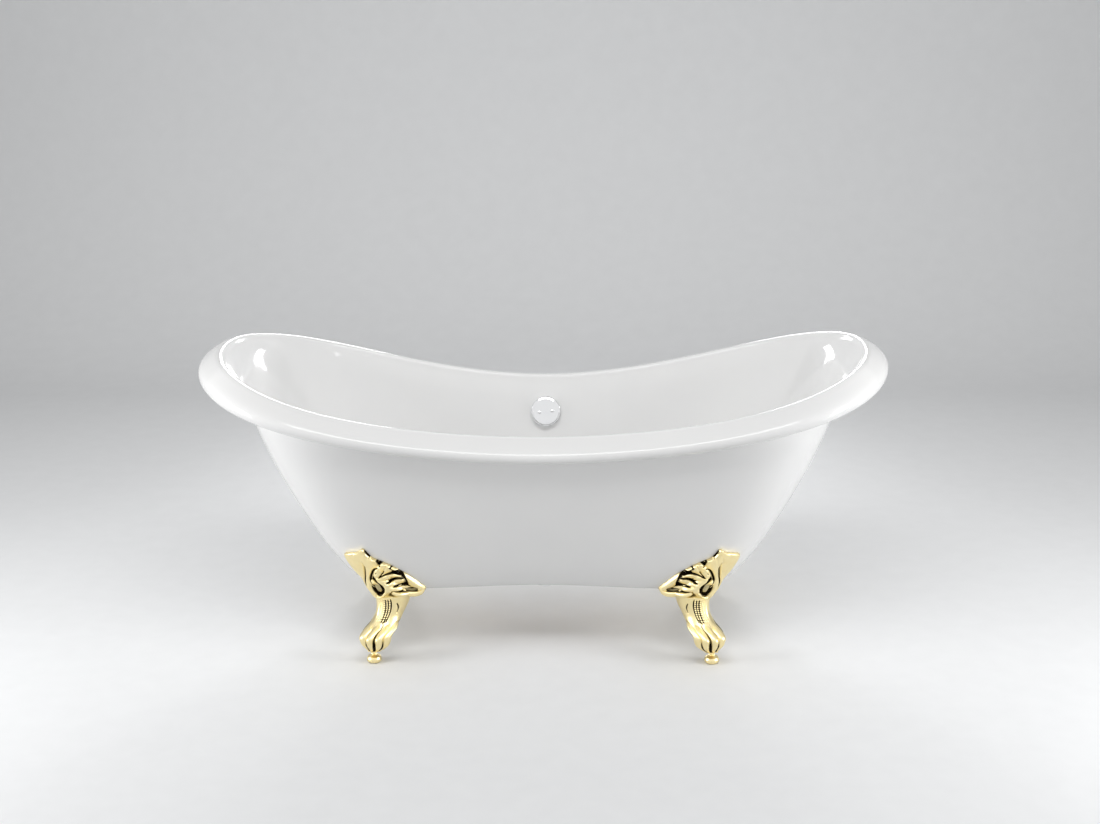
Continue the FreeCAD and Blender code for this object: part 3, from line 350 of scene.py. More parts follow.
acrylic_finish = white_acrylic()
lip_underside = rim_ring(LIP_UNDERSIDE, LIP_UNDERSIDE)
skirt_plan = drawn_in(plan_ring(*SKIRT_TOP, 0.0))
skirt_top = [Vector((foot.x, foot.y, low.z + 4.0)) for foot, low in zip(skirt_plan, lip_underside)]
skirt_foot = drawn_in(plan_ring(*UNDERSIDE, UNDERSIDE_HEIGHT))
flange_edge = plan_ring(UNDERSIDE[0] - SKIRT_FLANGE[0], UNDERSIDE[1] - SKIRT_FLANGE[1], UNDERSIDE_HEIGHT)
skirt_rows = [flange_edge, between(flange_edge, skirt_foot, 0.6, 0), between(flange_edge, skirt_foot, 0.9, 0)]
skirt_rows += [between(skirt_top, skirt_foot, inward, drop) for inward, drop in SKIRT_WALL] + [skirt_top]

wall_top = drawn_in(rim_ring(WALL_TOP, WALL_TOP))
basin_floor = drawn_in(plan_ring(*BASIN_FLOOR, BASIN_FLOOR_HEIGHT))
waste_edge = [Vector((math.cos(ring_angle(i)), math.sin(ring_angle(i)), 0)) * WASTE_HOLE_RADIUS
              + UP * BASIN_FLOOR_HEIGHT for i in range(RING_POINTS)]
lip_return = [Vector((top.x, top.y, low.z)) + outward(skirt_plan, i) * 0.4
              for i, (top, low) in enumerate(zip(skirt_plan, lip_underside))]
basin_rows = [waste_edge] + [between(waste_edge, basin_floor, share, 0) for share in (0.05, 0.35, 0.75)]
basin_rows += [between(wall_top, basin_floor, inward, drop) for inward, drop in BASIN_WALL]
basin_rows += [wall_top] + [rim_ring(middle, end) for middle, end in zip(RIM_SECTION, END_SECTION)]
basin_rows += [between(lip_underside, lip_return, 0.35, 0.35), lip_return]


def overflow_drill():
    """A drill through the back wall, square to it behind the overflow's cap."""
    low, high = (Vector(corner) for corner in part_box("overflow_front_gasket"))
    bpy.ops.mesh.primitive_cylinder_add(radius=OVERFLOW_HOLE_RADIUS * MM, depth=60 * MM, vertices=48,
                                        location=(low + high) / 2, rotation=(OVERFLOW_TILT, 0, 0))
    return bpy.context.object


inner_shell = drawn_sheet("acrylic_inner_shell", basin_rows[::-1], INNER_THICKNESS, [overflow_drill()])
outer_shell = drawn_sheet("acrylic_outer_shell", skirt_rows, OUTER_THICKNESS)
for sheet, node in ((inner_shell, "inner_shell"), (outer_shell, "outer_shell")):
    sheet.data.materials.append(acrylic_finish)
    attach(sheet, "tub")
    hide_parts(node)


# ---------------------------------------------------------------------------------------------------------
# Claw feet.  Each is one brass casting, gold plated and buffed.  Its crevices, its bore and its hidden
# back are painted dark brown: painted shade and painted dark reflections.  A shield of acanthus leaves
# lies on the skirt and ends in a cupped collar, and a leg comes down out of it to a paw whose toes grip
# a ball.  A lug behind bolts up to the bracket.
# ---------------------------------------------------------------------------------------------------------
FOOT_AXIS = Vector((-425.0, -240.0, 0.0))   # the front left foot's levelling axis
FOOT_TURN = math.radians(60.0)              # its own x runs in under the tub, its y along the wall
# the leg's level sections: height, centre in and along the wall, half depth, half width
LEG = [(32.0, 0.0, -2.0, 15.0, 17.0), (44.0, 2.0, -6.0, 23.0, 26.0), (60.0, 3.0, -7.0, 31.0, 35.0),
       (79.0, 5.0, -8.0, 34.0, 39.0), (100.0, 34.0, -12.0, 39.0, 35.5), (120.0, 56.0, -13.0, 42.0, 34.0),
       (140.0, 67.0, -14.0, 45.0, 38.5), (163.0, 69.0, -13.0, 46.0, 45.0), (186.0, 60.0, -8.0, 45.0, 56.0),
       (205.0, 49.0, -3.0, 37.0, 53.0), (225.0, 38.0, 0.0, 28.0, 42.0), (243.0, 28.0, 0.0, 18.0, 28.0),
       (256.0, 21.0, 0.0, 9.0, 14.0)]
# a toe: height, reach from the leg's centre, half thickness, half width
TOE = [(34.0, 17.0, 2.0, 2.5), (44.0, 26.0, 4.5, 5.5), (54.0, 33.0, 6.5, 8.0), (64.0, 36.5, 7.5, 9.5),
       (75.0, 37.0, 9.0, 11.0), (84.0, 37.5, 8.5, 10.5), (94.0, 35.5, 9.5, 10.5), (104.0, 31.0, 7.5, 9.0),
       (116.0, 22.0, 5.0, 7.0)]
TOES = [(-84.0, 1.35), (-46.0, 0.95), (-10.0, 0.9), (27.0, 1.25), (150.0, 1.3)]     # turn, share of the width
SHIELD = [(-98.0, 180.0), (-102.0, 190.0), (-93.0, 210.0), (-83.0, 228.0), (-72.0, 242.0), (-59.0, 254.0),
          (-46.0, 265.5), (-38.0, 270.0), (-25.0, 278.0), (-12.0, 284.0), (-4.0, 297.0), (4.0, 311.0),
          (14.0, 305.0), (26.0, 298.0), (50.0, 292.0), (64.0, 287.0), (67.0, 275.0), (64.0, 259.0),
          (61.0, 244.0), (56.0, 229.0), (49.0, 211.0), (41.0, 192.0), (35.0, 175.0), (21.0, 165.0),
          (4.0, 162.0), (-12.0, 165.5), (-28.0, 174.0), (-37.0, 183.0), (-45.0, 187.0), (-60.0, 182.0),
          (-76.0, 178.0), (-88.0, 177.0)]
SHIELD_MIDDLE = (-5.0, 226.0)
# leaves and curls that stand up from the shield: height, then a run of across, height and half width
LEAVES = [
    (8.0, [(26.0, 196.0, 10.0), (39.0, 214.0, 17.0), (44.0, 238.0, 24.0), (44.0, 262.0, 28.0),
           (45.0, 290.0, 24.0)]),
    (8.0, [(42.0, 272.0, 20.0), (26.0, 283.0, 16.0), (13.0, 295.0, 11.0), (4.0, 309.0, 6.0)]),
    (8.0, [(4.0, 256.0, 14.0), (7.0, 272.0, 15.0), (6.0, 288.0, 11.0)]),
    (9.0, [(-18.0, 282.0, 9.0), (-8.0, 270.0, 17.0), (2.0, 250.0, 15.0), (12.0, 230.0, 12.0),
           (18.0, 208.0, 10.5), (15.0, 188.0, 9.0), (2.0, 171.0, 8.0)]),
    (11.0, [(-15.0, 234.0, 11.0), (-20.0, 244.0, 11.5), (-31.0, 258.0, 10.0), (-38.0, 268.0, 6.0)]),
    (9.5, [(-27.0, 233.0, 6.0), (-38.0, 246.0, 8.0), (-46.0, 258.0, 6.5), (-47.0, 265.0, 4.0)]),
    (7.0, [(-52.0, 257.0, 5.5), (-58.0, 251.0, 4.5)]),
    (10.0, [(-18.0, 225.0, 8.5), (-38.0, 230.0, 8.0), (-55.0, 234.0, 7.0), (-68.0, 232.0, 5.0)]),
    (9.0, [(-20.0, 220.0, 8.0), (-32.0, 212.0, 8.5), (-38.0, 201.0, 8.0), (-37.0, 190.0, 7.0)]),
    (9.5, [(-44.0, 209.0, 5.5), (-53.0, 214.0, 8.0), (-62.0, 217.0, 7.0), (-67.0, 219.0, 4.5)]),
    (9.0, [(-68.0, 240.0, 6.0), (-78.0, 224.0, 12.0), (-87.0, 209.0, 15.0), (-95.0, 194.0, 12.0)]),
    (7.0, [(-44.0, 197.0, 6.0), (-60.0, 196.0, 6.0), (-74.0, 193.0, 5.0)]),
    (8.0, [(5.0, 214.0, 7.0), (-4.0, 203.0, 9.0), (-12.0, 192.0, 7.0)]),
]
# the collar's roll round the cup that the leg comes out of
COLLAR = [(42.0, 200.0, 4.5), (39.0, 186.0, 5.5), (32.0, 174.0, 6.0), (19.0, 168.0, 6.0), (4.0, 166.0, 6.0),
          (-12.0, 169.5, 6.0), (-27.0, 178.0, 6.0), (-37.0, 190.0, 5.5)]
# cuts between the leaves, filled with painted shade: depth, then a run of across, height and half width
SLITS = [
    (6.0, [(16.0, 268.0, 1.0), (16.0, 250.0, 2.6), (22.0, 227.0, 3.6), (28.0, 204.0, 3.4),
           (21.0, 184.0, 1.2)]),
    (5.0, [(0.0, 310.0, 1.8), (-4.0, 296.0, 2.6), (-8.0, 284.0, 1.0)]),
    (5.0, [(-23.0, 280.0, 2.2), (-26.0, 264.0, 3.0), (-29.0, 261.0, 1.0)]),
    (5.0, [(-21.0, 255.0, 1.0), (-10.0, 251.0, 2.0), (-2.0, 239.0, 2.8), (6.0, 221.0, 2.6), (3.0, 206.0, 2.2),
           (-6.0, 186.0, 2.0)]),
    (4.0, [(-22.0, 231.0, 1.4), (-33.0, 247.0, 1.2)]),
    (2.0, [(-15.0, 240.0, 1.2), (-16.0, 242.0, 1.2)]),
    (5.0, [(-20.0, 228.0, 1.4), (-36.0, 238.0, 2.2), (-50.0, 242.0, 2.8), (-66.0, 238.0, 3.4)]),
    (5.0, [(-38.0, 214.0, 3.2), (-46.0, 223.0, 2.6), (-58.0, 226.0, 3.0), (-70.0, 226.0, 3.0)]),
    (4.0, [(-46.0, 270.0, 2.4), (-51.0, 262.0, 1.6), (-50.0, 254.0, 2.4), (-60.0, 246.0, 3.4)]),
]
# the cup's inside, the eye of the rolled leaf and the deep place beside the fingers: depth, painted shade,
# run
POCKETS = [
    (7.0, 0.5, [(-7.0, 200.0, 11.0), (-12.0, 186.0, 13.0)]),
    (6.0, 1.0, [(-64.0, 189.0, 4.0), (-74.0, 190.0, 6.5), (-86.0, 190.0, 5.0)]),
    (5.0, 1.0, [(-62.0, 248.0, 4.0), (-70.0, 238.0, 5.0), (-74.0, 224.0, 4.5), (-70.0, 208.0, 4.5),
                (-50.0, 203.0, 3.0)]),
]
# the long leaf's rolled under edge
ROLLED_EDGE = [(-44.0, 187.0, 4.0), (-54.0, 180.0, 6.5), (-68.0, 175.0, 7.5), (-83.0, 175.0, 7.5),
               (-94.0, 180.0, 6.0), (-101.0, 189.0, 2.5)]


def read_between(table, values):
    """The table's other columns at values of its first, on smooth curves through its rows."""
    rows = np.array(table)
    keys, columns = rows[:, 0], rows[:, 1:]
    slopes = np.gradient(columns, keys, axis=0)
    values = np.clip(values, keys[0], keys[-1])
    low = np.clip(np.searchsorted(keys, values) - 1, 0, len(keys) - 2)
    span = keys[low + 1] - keys[low]
    share = ((values - keys[low]) / span)[..., None]
    span = span[..., None]
    rise = share * share * (3 - 2 * share)
    start = slopes[low] * span * share * (1 - share) ** 2
    end = slopes[low + 1] * span * share * share * (share - 1)
    return columns[low] * (1 - rise) + columns[low + 1] * rise + start + end


def smooth_run(run):
    """More points on a curve through a run's points."""
    table = [(i, *point) for i, point in enumerate(run)]
    return read_between(table, np.linspace(0, len(run) - 1, 4 * len(run)))


def distance_in_widths(run, across, height):
    """How far places lie from a run, as a share of the run's half width there."""
    points = smooth_run(run)
    nearest = np.full(np.shape(across), 99.0)
    for (y0, z0, w0), (y1, z1, w1) in zip(points, points[1:]):
        share = ((across - y0) * (y1 - y0) + (height - z0) * (z1 - z0)) / ((y1 - y0) ** 2 + (z1 - z0) ** 2)
        share = np.clip(share, 0, 1)
        gap = np.hypot(across - y0 - share * (y1 - y0), height - z0 - share * (z1 - z0))
        nearest = np.minimum(nearest, gap / (w0 + share * (w1 - w0)))
    return nearest


def ramp(value, low, high):
    share = np.clip((value - low) / (high - low), 0, 1)
    return share * share * (3 - 2 * share)


WALL_STEP = 4.0
RAY_START = 200.0                           # how far outside the levelling axis a ray at the skirt begins


def wall_table():
    """How far in the skirt lies at places across the foot, on a grid above the skirt's turned-in bottom."""
    skirt = BVHTree.FromObject(outer_shell, bpy.context.evaluated_depsgraph_get())
    ahead = Vector((math.cos(FOOT_TURN), math.sin(FOOT_TURN), 0))
    beside = Vector((-ahead.y, ahead.x, 0))
    across, heights = np.arange(-120.0, 93.0, WALL_STEP), np.arange(192.0, 325.0, WALL_STEP)
    depth = np.zeros((len(across), len(heights)))
    for i, y in enumerate(across):
        for j, z in enumerate(heights):
            start = FOOT_AXIS + beside * float(y) + UP * float(z) - ahead * RAY_START
            depth[i, j] = skirt.ray_cast(start * MM, ahead)[3] / MM - RAY_START
    return across, heights, depth


WALL_ACROSS, WALL_HEIGHTS, WALL_DEPTH = wall_table()


def wall_at(across, height):
    """The skirt's place in from the levelling axis, read from the table."""
    u = np.clip((across - WALL_ACROSS[0]) / WALL_STEP, 0, len(WALL_ACROSS) - 1.001)
    v = np.clip((height - WALL_HEIGHTS[0]) / WALL_STEP, 0, len(WALL_HEIGHTS) - 1.001)
    i, j = u.astype(int), v.astype(int)
    u, v = u - i, v - j
    low = WALL_DEPTH[i, j] * (1 - u) + WALL_DEPTH[i + 1, j] * u
    high = WALL_DEPTH[i, j + 1] * (1 - u) + WALL_DEPTH[i + 1, j + 1] * u
    return low * (1 - v) + high * v


PLATE_THICKNESS = 5.0                       # of the shield under its leaves
KNEE_BLEND = 5.0                            # how softly the plate runs into the knee


def shield_base(across, height):
    """The plain form under the leaves: a plate on the wall that swells over the knee."""
    centre, along, deep, wide = np.moveaxis(read_between(LEG, height), -1, 0)
    side = np.abs(across - along) / wide
    knee = centre - deep * np.sqrt(np.clip(1 - side ** 2, 0, 1)) + 60 * np.clip(side - 1, 0, 9)
    knee = knee + 2.0 * np.clip(height - 250, 0, 99)
    plate = wall_at(across, height) - PLATE_THICKNESS
    return -KNEE_BLEND * np.logaddexp(-plate / KNEE_BLEND, -knee / KNEE_BLEND)


def leaf_relief(across, height):
    """How far the leaves stand up, and how much painted shade darkens the gaps, cuts and hollows between
    them.
    """
    relief, edge = np.zeros(across.shape), np.full(across.shape, 99.0)
    for rise, run in LEAVES + [(7.0, COLLAR)]:
        share = distance_in_widths(run, across, height)
        relief = np.maximum(relief, rise * np.sqrt(np.clip(1 - share ** 2, 0, 1)))
        edge = np.minimum(edge, share)
    # painted shade where no leaf stands, in the gaps between the leaves
    painted_shade = ramp(edge, 0.93, 1.04)
    for depth, run in SLITS:
        cut = np.exp(-distance_in_widths(run, across, height) ** 2)
        relief, painted_shade = relief - depth * cut, np.maximum(painted_shade, ramp(cut, 0.2, 0.7))
    for depth, darkness, run in POCKETS:
        cut = 1 - ramp(distance_in_widths(run, across, height), 0.5, 1.1)
        relief, painted_shade = relief - depth * cut, np.maximum(painted_shade, darkness * cut)
    return relief, painted_shade


def capped_grid(points):
    """Points, rows by columns, as a closed skin: the first and last rows are closed with fans."""
    rows, columns = points.shape[:2]
    flat = np.concatenate([points.reshape(-1, 3), points[:1].mean(axis=1), points[-1:].mean(axis=1)])
    first, last = rows * columns, rows * columns + 1
    faces = grid_faces(rows, columns)
    faces += [(first, (c + 1) % columns, c) for c in range(columns)]
    faces += [(last, first - columns + c, first - columns + (c + 1) % columns) for c in range(columns)]
    return flat, faces


SKIN_COLUMNS = 300                          # points round the shield, and round the leg
# the share of the way out where the shield's edge begins to round, and the share that it takes
ROUNDED_FROM, ROUNDED_WIDTH = 0.93, 0.07
EDGE_DEPTH = 3.0                            # how far the rounded edge falls below the plate
BACK_DEPTH = 9.0                            # the shield's back, behind its plate
BACK_ROWS = [-1, 40, 1]                     # the front's rows that the back repeats, from its edge in
WALL_GAP = 0.3                              # between the casting and the skirt or the bracket


def shield_skin():
    """The shield's front in rings out from its middle, rounded over at its edge, and its back."""
    outline = read_between([(i, *point) for i, point in enumerate(SHIELD + SHIELD[:1])],
                           np.linspace(0, len(SHIELD), 900))
    turns = np.unwrap(np.arctan2(outline[:, 1] - SHIELD_MIDDLE[1], outline[:, 0] - SHIELD_MIDDLE[0]))
    reach = np.hypot(outline[:, 0] - SHIELD_MIDDLE[0], outline[:, 1] - SHIELD_MIDDLE[1])
    order = np.argsort(turns)
    columns = np.linspace(turns[order[0]], turns[order[0]] + 2 * math.pi, SKIN_COLUMNS, endpoint=False)
    edge = np.interp(columns, turns[order], reach[order], period=2 * math.pi)
    shares = np.concatenate([np.linspace(0.02, 0.94, 66), [0.96, 0.975, 0.987, 0.995, 1.0]])
    across = SHIELD_MIDDLE[0] + shares[:, None] * edge * np.cos(columns)
    height = SHIELD_MIDDLE[1] + shares[:, None] * edge * np.sin(columns)
    base = shield_base(across, height)
    relief, painted_shade = leaf_relief(across, height)
    rounding = np.sqrt(np.clip(1 - ((shares - ROUNDED_FROM) / ROUNDED_WIDTH).clip(0, 1) ** 2, 0, 1))[:, None]
    front = base - (relief + EDGE_DEPTH) * rounding + EDGE_DEPTH
    back = np.minimum(base[BACK_ROWS] + BACK_DEPTH, wall_at(across, height)[BACK_ROWS] - WALL_GAP)
    front_points = np.stack([front, across, height], axis=-1)
    back_points = np.stack([back, across[BACK_ROWS], height[BACK_ROWS]], axis=-1)
    points, faces = capped_grid(np.concatenate([front_points, back_points]))
    # painted shade of 0.6 on the back, out of sight against the skirt, and on the caps
    return points, faces, np.concatenate([painted_shade.ravel(), np.full(len(BACK_ROWS) * SKIN_COLUMNS + 2, 0.6)])


def toe_form(reach_out, turn, height):
    """The paw's toes over its ball: how far out they stand, and the painted shade between them, heavier low
    down.
    """
    reach, deep, wide = np.moveaxis(read_between(TOE, height), -1, 0)
    out, nearest = np.full(turn.shape, -99.0), np.full(turn.shape, 99.0)
    for angle, broad in TOES:
        away = turn - math.radians(angle)
        away = np.arctan2(np.sin(away), np.cos(away))
        side = np.where(np.cos(away) > 0, np.abs(reach * np.sin(away)) / (wide * broad), 99.0)
        stand = reach * np.cos(away) + deep * np.sqrt(np.clip(1 - side ** 2, 0, 1))
        out = np.where(side < 1, np.maximum(out, stand), out)
        nearest = np.minimum(nearest, side)
    # painted shade between the toes, heavier towards the bottom
    there = ramp(height, 33.0, 36.0) * (1 - ramp(height, 100.0, 112.0))
    low = 1 - ramp(height, 52.0, 74.0)
    dark = ramp(nearest, 0.90 - 0.15 * low, 1.02) * (0.7 + 0.3 * low) * there
    return np.maximum(out, reach_out), dark


BEAD_COLUMNS = (8.0, 0.0, -8.5, -17.5, -26.0)      # turns round the ankle, in degrees
BEAD_ROWS = np.arange(112.0, 163.0, 5.0)
BEAD_RADIUS, BEAD_HEIGHT = 2.3, 1.7
# cuts beside the panel and in the flank: depth, then a run of turn in degrees, height and half width
ANKLE_CUTS = [
    (1.6, [(-30.0, 165.0, 1.6), (-32.0, 140.0, 1.6), (-30.0, 118.0, 1.6), (-20.0, 107.0, 2.0)]),
    (2.2, [(-50.0, 152.0, 2.0), (-58.0, 140.0, 3.4), (-59.0, 128.0, 1.6)]),
]


def ankle_relief(turn, height, radius):
    """Rows of beads down the front of the ankle in a sunk panel, and a dimple in its flank.  Painted shade
    fills the panel round the beads, heavier on one side of the ankle, and the cuts.
    """
    relief = np.zeros(turn.shape)
    for angle in BEAD_COLUMNS:
        aside = (turn - math.radians(angle)) * radius
        for row in BEAD_ROWS:
            gap = np.hypot(aside, height - row) / BEAD_RADIUS
            relief = np.maximum(relief, BEAD_HEIGHT * np.sqrt(np.clip(1 - gap ** 2, 0, 1)))
    panel = (1 - ramp(np.abs(np.degrees(turn) + 9.0), 22.0, 25.0)) * ramp(height, 107.0, 110.0)
    panel = panel * (1 - ramp(height, 161.0, 166.0))
    # painted shade in the panel: light on one side of the ankle and heavy on the other
    shade = 0.25 + 0.75 * ramp(-np.degrees(turn), 2.0, 12.0)
    dark = panel * shade * (1 - ramp(relief, 0.2, 1.2))
    for depth, run in ANKLE_CUTS:
        cut = np.exp(-distance_in_widths(run, np.degrees(turn), height) ** 2)
        relief, dark = relief - depth * cut, np.maximum(dark, 0.8 * ramp(cut, 0.2, 0.8))
    return relief - 0.8 * panel, dark


LEG_BOTTOM, PAW_TOP, ANKLE_TOP, LEG_TOP = 32.0, 112.0, 166.0, 206.0
SKIRT_BOTTOM = UNDERSIDE_HEIGHT - WALL_GAP
# the bore for the insert and then the stud: radius and height
BORE = [(8.0, LEG_BOTTOM), (8.0, 60.0), (6.5, 60.0), (6.5, 98.0)]


def leg_skin():
    """The leg, ankle and paw round the leg's leaning middle, with the bore that the stud turns in."""
    heights = np.concatenate([np.arange(LEG_BOTTOM, PAW_TOP, 0.9), np.arange(PAW_TOP, ANKLE_TOP, 0.7),
                              np.arange(ANKLE_TOP, LEG_TOP, 2.5)])
    turns = np.linspace(-math.pi, math.pi, SKIN_COLUMNS, endpoint=False)
    turn, height = np.broadcast_arrays(turns, heights[:, None])
    centre, along, deep, wide = np.moveaxis(read_between(LEG, height), -1, 0)
    radius = 1 / np.hypot(np.cos(turn) / deep, np.sin(turn) / wide)
    radius, painted_shade = toe_form(radius, turn, height)
    relief, dark = ankle_relief(turn, height, radius)
    tuck = ramp(height, 167.0, 182.0) * (1 - ramp(np.abs(turn), 0.9, 1.5))
    radius = (radius + relief) * (1 - 0.35 * tuck)
    ahead = centre - radius * np.cos(turn)
    across = along + radius * np.sin(turn)
    against_wall = np.minimum(ahead, wall_at(across, height) - WALL_GAP)
    ahead = np.where(height > SKIRT_BOTTOM, against_wall, ahead)
    outside = np.stack([ahead, across, height], axis=-1)
    bore = np.array([[(-r * math.cos(a), r * math.sin(a), z) for a in turns] for r, z in BORE[::-1]])
    points, faces = capped_grid(np.concatenate([bore, outside]))
    painted_shade = np.maximum(painted_shade, dark)
    # painted shade: heavy in the bore and on its end, half on the leg's top against the skirt
    return points, faces, np.concatenate([np.full(bore[..., 0].size, 0.9), painted_shade.ravel(), [0.9, 0.5]])


def rolled_edge_skin():
    """The rolled under edge of the long leaf, which hangs below the skirt."""
    run = smooth_run(ROLLED_EDGE)
    depth = shield_base(run[:, 0], run[:, 1]) + 1.0
    places = np.stack([depth, run[:, 0], run[:, 1]], axis=-1)
    along = np.gradient(places, axis=0)
    along = along / np.linalg.norm(along, axis=1)[:, None]
    aside = np.cross(along, (1.0, 0.0, 0.0))
    aside = aside / np.linalg.norm(aside, axis=1)[:, None]
    ahead = np.cross(aside, along)
    turns = np.linspace(0, 2 * math.pi, 24, endpoint=False)[:, None]
    rings = [place + half * (np.cos(turns) * one + np.sin(turns) * other)
             for place, half, one, other in zip(places, run[:, 2], aside, ahead)]
    points, faces = capped_grid(np.array(rings))
    # a touch of painted shade over the rolled edge
    return points, faces, np.full(len(points), 0.1)


LUG_START, LUG_END, LUG_SIDE, LUG_DEPTH = 60.0, 215.0, 24.0, 10.0
LUG_BOLTS = (130.0, 175.0)
LUG_HOLE = 5.5
LUG_SQUARE = 15.0                           # half the stretch of bar that is joined to one hole's wall
HOLE_SIDES = 24


def lug_skin():
    """The bolting lug: a flat bar, with each hole's wall joined to the square of bar round it."""
    top, bottom = UNDERSIDE_HEIGHT, UNDERSIDE_HEIGHT - LUG_DEPTH
    points, faces = [], []
    cuts = [LUG_START] + [bolt + step for bolt in LUG_BOLTS for step in (-LUG_SQUARE, LUG_SQUARE)] + [LUG_END]
    for x in cuts:
        points += [(x, -LUG_SIDE, bottom), (x, LUG_SIDE, bottom), (x, LUG_SIDE, top), (x, -LUG_SIDE, top)]
    for i in range(len(cuts) - 1):
        a, b = 4 * i, 4 * i + 4
        faces += [(a, a + 3, b + 3, b), (a + 1, b + 1, b + 2, a + 2)]
        if i % 2 == 0:
            faces += [(a, b, b + 1, a + 1), (a + 3, a + 2, b + 2, b + 3)]
    faces += [(0, 1, 2, 3), (len(points) - 4, len(points) - 1, len(points) - 2, len(points) - 3)]
    turns = [2 * math.pi * k / HOLE_SIDES for k in range(HOLE_SIDES)]
    quarter = HOLE_SIDES // 4
    for i, bolt in enumerate(LUG_BOLTS):
        corner = 8 * i + 4
        first = len(points)
        for z in (bottom, top):
            points += [(bolt + LUG_HOLE * math.cos(turn), LUG_HOLE * math.sin(turn), z) for turn in turns]
        lower = [first + k for k in range(HOLE_SIDES)]
        upper = [first + HOLE_SIDES + k for k in range(HOLE_SIDES)]
        faces += [(lower[(k + 1) % HOLE_SIDES], lower[k], upper[k], upper[(k + 1) % HOLE_SIDES])
                  for k in range(HOLE_SIDES)]
        for level, (ring, south, north) in enumerate(((lower, 0, 1), (upper, 3, 2))):
            loop = [corner + 4 + north, corner + north, corner + south, corner + 4 + south]
            for side in range(4):
                arc = [ring[(quarter // 2 + quarter * side + k) % HOLE_SIDES] for k in range(quarter + 1)]
                face = [loop[side], loop[(side + 1) % 4]] + arc[::-1]
                faces.append(tuple(face if level else face[::-1]))
    # half painted shade over the hidden lug
    return np.array(points, dtype=float), faces, np.full(len(points), 0.5)


def foot_object(name, skins, along, across):
    """The casting, turned to its place.  The front left one is the pattern, and the others mirror it."""
    points = np.concatenate([skin[0] for skin in skins])
    starts = np.cumsum([0] + [len(skin[0]) for skin in skins])
    faces = [tuple(start + corner for corner in face)
             for start, skin in zip(starts, skins) for face in skin[1]]
    if along != across:
        faces = [face[::-1] for face in faces]
    placed = points @ np.array(Matrix.Rotation(FOOT_TURN, 3, "Z")).T + np.array(FOOT_AXIS)
    foot = solid_mesh(name, (placed * (-along, -across, 1)).tolist(), faces)
    # the casting's painted shade, carried to the material as an attribute
    shade_layer = foot.data.attributes.new("painted_shade", "FLOAT", "POINT")
    shade_layer.data.foreach_set("value", np.concatenate([skin[2] for skin in skins]).clip(0, 1))
    foot.data.set_sharp_from_angle(angle=math.radians(50))
    return foot


def polished_gold():
    """Gold plate buffed on the high places, where it mirrors warm and pale.  In the crevices a painted shade
    turns it a dull dark brown, in place of their shade and dark reflections."""
    gold = new_material("polished_gold")
    place = add_node(gold, "ShaderNodeTexCoord").outputs["Object"]
    depth = add_node(gold, "ShaderNodeAttribute", {"attribute_name": "painted_shade"}).outputs["Fac"]
    cloud = add_node(gold, "ShaderNodeTexNoise", Vector=place, Scale=1 / (9 * MM), Detail=3.0).outputs["Fac"]
    tone = add_node(gold, "ShaderNodeMix", {"data_type": "RGBA"}, _0=cloud,
                    _6=linear("FBE7AC"), _7=linear("FFF1C0"))
    # painted shade: the casting's attribute, broken by noise, mixes in a near black brown and dulls the gloss
    broken = add_node(gold, "ShaderNodeMath", {"operation": "MULTIPLY_ADD"}, _0=cloud, _1=0.3, _2=depth)
    shade_amount = add_node(gold, "ShaderNodeMapRange", _0=broken.outputs[0], _1=0.35, _2=0.95, _3=0.0, _4=1.0)
    shaded_tone = add_node(gold, "ShaderNodeMix", {"data_type": "RGBA"}, _0=shade_amount.outputs[0], _6=tone.outputs[2],
                     _7=linear("1A1208"))
    sheen = add_node(gold, "ShaderNodeMapRange", _0=shade_amount.outputs[0], _1=0.0, _2=1.0, _3=0.34, _4=0.62)
    shader = add_node(gold, "ShaderNodeBsdfPrincipled", Base_Color=shaded_tone.outputs[2], Metallic=1.0,
                      Roughness=sheen.outputs[0])
    add_node(gold, "ShaderNodeOutputMaterial", Surface=shader.outputs[0])
    return gold


gold_finish = polished_gold()
SIDES = {"front_left": (-1, -1), "front_right": (1, -1), "rear_left": (-1, 1), "rear_right": (1, 1)}
foot_skins = [shield_skin(), leg_skin(), rolled_edge_skin(), lug_skin()]
for side, (along, across) in SIDES.items():
    foot = foot_object(f"gilt_claw_foot_{side}", foot_skins, along, across)
    foot.data.materials.append(gold_finish)
    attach(foot, "tub")
    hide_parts(f"claw_foot_{side}")


# ---------------------------------------------------------------------------------------------------------
# Levelling gear.  Under each paw a stud with a gold-plated knob screws up into a turned brass insert, and the
# knob stands on a moulded nylon glide, so that turning it lifts or lowers that corner of the tub.
# ---------------------------------------------------------------------------------------------------------
def paint(nodes, material):
    """Gives CAD pieces their real finish."""
    for name in nodes:
        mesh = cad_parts[name].data
        mesh.materials.clear()
        mesh.materials.append(material)


def turned_brass():
    """Free-cutting brass, left bright as it came off the lathe: a soft yellow mirror with hazy patches."""
    brass = new_material("turned_brass")
    place = add_node(brass, "ShaderNodeTexCoord").outputs["Object"]
    cloud = add_node(brass, "ShaderNodeTexNoise", Vector=place, Scale=1 / (12 * MM), Detail=2.0)
    tone = add_node(brass, "ShaderNodeMix", {"data_type": "RGBA"}, _0=cloud.outputs["Fac"],
                    _6=linear("C9A45A"), _7=linear("D6B46C"))
    haze = add_node(brass, "ShaderNodeTexNoise", Vector=place, Scale=1 / (3 * MM), Detail=2.0)
    polish = add_node(brass, "ShaderNodeMapRange", _0=haze.outputs["Fac"], _1=0.3, _2=0.7, _3=0.22, _4=0.34)
    shader = add_node(brass, "ShaderNodeBsdfPrincipled", Base_Color=tone.outputs[2], Metallic=1.0,
                      Roughness=polish.outputs[0])
    add_node(brass, "ShaderNodeOutputMaterial", Surface=shader.outputs[0])
    return brass


